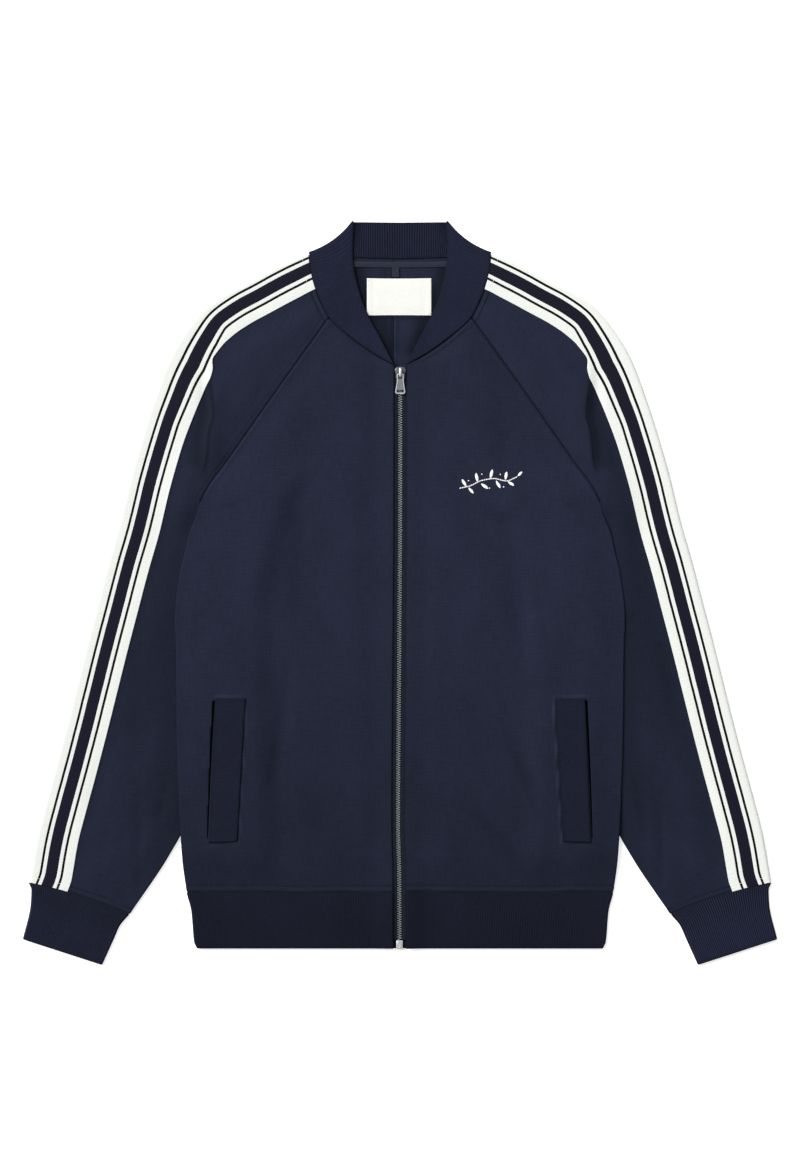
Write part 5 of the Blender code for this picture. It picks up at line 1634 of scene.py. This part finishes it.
def besideCuff(low, high, count, away):
    # a path above the cuff's seam, between two shares of its width
    outer, inner = (np.array((cuff[end + "X"][0], cuff[end + "Y"][0])) for end in ("outer", "inner"))
    shares, run = np.linspace(low, high, count)[:, None], inner - outer
    return outer + run * shares + squareTo(run) * (away + sleeve["seamBow"] * arch(shares))


def addSeamStitches(side, sign):
    x = sign * np.linspace(11.3, 218, 120)
    foot = np.column_stack([x, cloth["hemSeam"] + 0.15 + body["hemStitch"] + hemWave(x)])
    if sign < 0:
        foot = foot[x < -13.3]      # short of the zip
    around = weltFrame(pocket["stitch"])
    welt = np.concatenate([np.linspace(a, b, 30) for a, b in zip(around, around[1:])])
    onNeck = beside(neckX, 236, 277, 40, body["neckStitch"] + 0.2)
    raglan = beside(raglanX, 98, 279, 90, body["raglanStitch"] + 0.15)
    aboveCuff = besideCuff(0.43, 0.975, 50, 5.95)
    onFront = stitchMoves(surfaces[side], foot, onNeck * (sign, 1), welt * (sign, 1))
    onSleeve = stitchMoves(treeOf(sleeves[side]), raglan * (sign, 1), aboveCuff * (sign, 1))
    return (sewn(f"frontTopstitch_{side}", onFront, sewingThread),
            sewn(f"sleeveTopstitch_{side}", onSleeve, sewingThread))


def addTapeStitches(side, sign):
    # short rows across both ends of the tape, where it is caught down
    neckEnd = neckCurve(6.2)(np.linspace(0.50, 0.98, 30))
    ends = neckEnd * (sign, 1), besideCuff(0.02, 0.39, 30, 6.0) * (sign, 1)
    points, across = tapePlaces[side]
    onCream = []      # thread sinks out of sight in the navy stripe
    for turn, place in stitchMoves(treeOf(tapes[side]), *ends, spec=tapeStitch):
        at = across[np.argmin(np.hypot(*(points - place[:2]).T))]
        if not braid["ends"][2] - 1 < at < braid["ends"][3] + 1:
            onCream.append((turn, place))
    return sewn(f"tapeStitches_{side}", onCream, paleThread)


frontStitches, sleeveStitches, tapeStitches = {}, {}, {}
for side, sign in sides.items():
    frontStitches[side], sleeveStitches[side] = addSeamStitches(side, sign)
    tapeStitches[side] = addTapeStitches(side, sign)

# A plain leafy sprig in satin stitch, where the chest carries an embroidered mark
sprig = {
    "stem": ((61, 107), (72, 109.5), (84, 115), (97, 117), (109, 114.5), (121, 119)),
    "leaves": ((66, 112.5, 118, 8.5, 3.2), (73, 104.8, -52, 8, 3.0), (79, 118, 98, 9.5, 3.4),
               (87, 109.2, -38, 9, 3.4), (94, 121.6, 74, 9.5, 3.4), (101, 111, -62, 8.5, 3.2),
               (109, 119.8, 78, 8.5, 3.2), (114, 111.8, -36, 7.5, 2.9), (123.2, 121.6, 42, 6.5, 2.8)),
    "berries": ((70.5, 114.8), (84.2, 121.4), (92, 107.2), (103.2, 121.2), (106.5, 108.4)),
    "leafThread": 0.5, "berryReach": 0.75,
}


def towards(degrees):
    return np.array((math.cos(math.radians(degrees)), math.sin(math.radians(degrees))))


def addSprig():
    tree, stem = surfaces["left"], pathPoints(sprig["stem"], 1.5)
    moves = stitchMoves(tree, stem + (0, -0.28), stem + (0, 0.28), spec=stemStitch)
    for x, y, degrees, long, wide in sprig["leaves"]:
        axis, square = towards(degrees), towards(degrees + 90)
        for at in np.arange(-0.5, 0.5, sprig["leafThread"] / long):
            half = wide / 2 * (math.sin(math.pi * (at + 0.5)) ** 0.75) + 0.12
            middle = (x, y) + axis * at * long
            # each thread slants towards the tip
            ends = middle - square * half - axis * half * 0.22, middle + square * half + axis * half * 0.55
            moves.append(threadMove(tree, *ends, 0.2, 0.6))
    for berry in sprig["berries"]:
        for k in range(5):
            reach = sprig["berryReach"] * towards(36 * k)
            moves.append(threadMove(tree, berry - reach, berry + reach, 0.25, 0.55))
    return sewn("chestSprig", moves, embroideryThread)


def addLabelStitches():
    # the four corners are caught down in pale thread
    tree, moves = treeOf(label), []
    high, low = neck["labelTop"] - 1.7, neck["labelTop"] - neck["labelHeight"] + 1.7
    for side in (-1, 1):
        x = neck["labelX"] + side * (neck["labelWidth"] / 2 - 1.6)
        for y in (high, low):
            for up in (-0.75, -0.25, 0.25, 0.75):
                moves.append(threadMove(tree, (x - 1, y + up), (x + 1, y + up), 0.03, 0.32))
    return sewn("labelStitches", moves, paleThread)


chestSprig, labelStitches = addSprig(), addLabelStitches()
print("stitches made")


# ---- the surface, the light and the camera

studio = {
    "floor": ("#ebebea", "#eeeeed"), "floorGlow": 0.6, "floorSize": 20.0, "floorDrop": 0.45,
    "sky": 0.34,
    "sunFrom": (-0.70, 0.58, 0.68), "sunAngle": math.radians(36), "sunPower": 4.4,
    "boxPlace": (0.25, 1.1, 1.5), "boxSize": 1.4, "boxPower": 5.0,
    "cameraHeight": 3.0, "frameHeight": 1.18965, "middle": (0.0, 0.0153),
}


def addStudio():
    bpy.ops.mesh.primitive_plane_add(size=studio["floorSize"], location=(0, 0, -studio["floorDrop"] * mm))
    floor = bpy.context.object
    floor.name = "floor"
    bpy.ops.object.transform_apply(location=True)
    paper, tree, shader = newMaterial("matt_studio_paper", {"Roughness": 0.95, "Specular IOR Level": 0.1})
    tone = toneBetween(tree, solidNoise(tree, 8), 0.2, 0.8, *studio["floor"])
    tree.links.new(tone, shader.inputs["Base Color"])
    shader.inputs["Emission Color"].default_value = linear("#ffffff")       # paper on a light table
    shader.inputs["Emission Strength"].default_value = studio["floorGlow"]
    floor.data.materials.append(paper)

    world = bpy.data.worlds.new("studio")
    bpy.context.scene.world = world
    world.use_nodes = True
    sky = world.node_tree.nodes["Background"]
    sky.inputs["Color"].default_value = linear("#ffffff")
    sky.inputs["Strength"].default_value = studio["sky"]

    bpy.ops.object.light_add(type="SUN", location=studio["sunFrom"])
    key = bpy.context.object
    key.name, key.data.angle, key.data.energy = "softKeyLight", studio["sunAngle"], studio["sunPower"]
    bpy.ops.object.light_add(type="AREA", location=studio["boxPlace"])
    box = bpy.context.object
    box.name, box.data.size, box.data.energy = "softboxByTheCollar", studio["boxSize"], studio["boxPower"]
    for light in (key, box):
        light.rotation_euler = (-light.location).to_track_quat("-Z", "Y").to_euler()

    bpy.ops.object.camera_add(location=(*studio["middle"], studio["cameraHeight"]), rotation=(0, 0, 0))
    camera = bpy.context.object
    camera.data.lens = camera.data.sensor_width * studio["cameraHeight"] / studio["frameHeight"]
    camera.data.clip_start, camera.data.clip_end = 0.1, 20
    bpy.context.scene.camera = camera
    bpy.context.scene.view_settings.view_transform = "Standard"
    print("studio made")


addStudio()
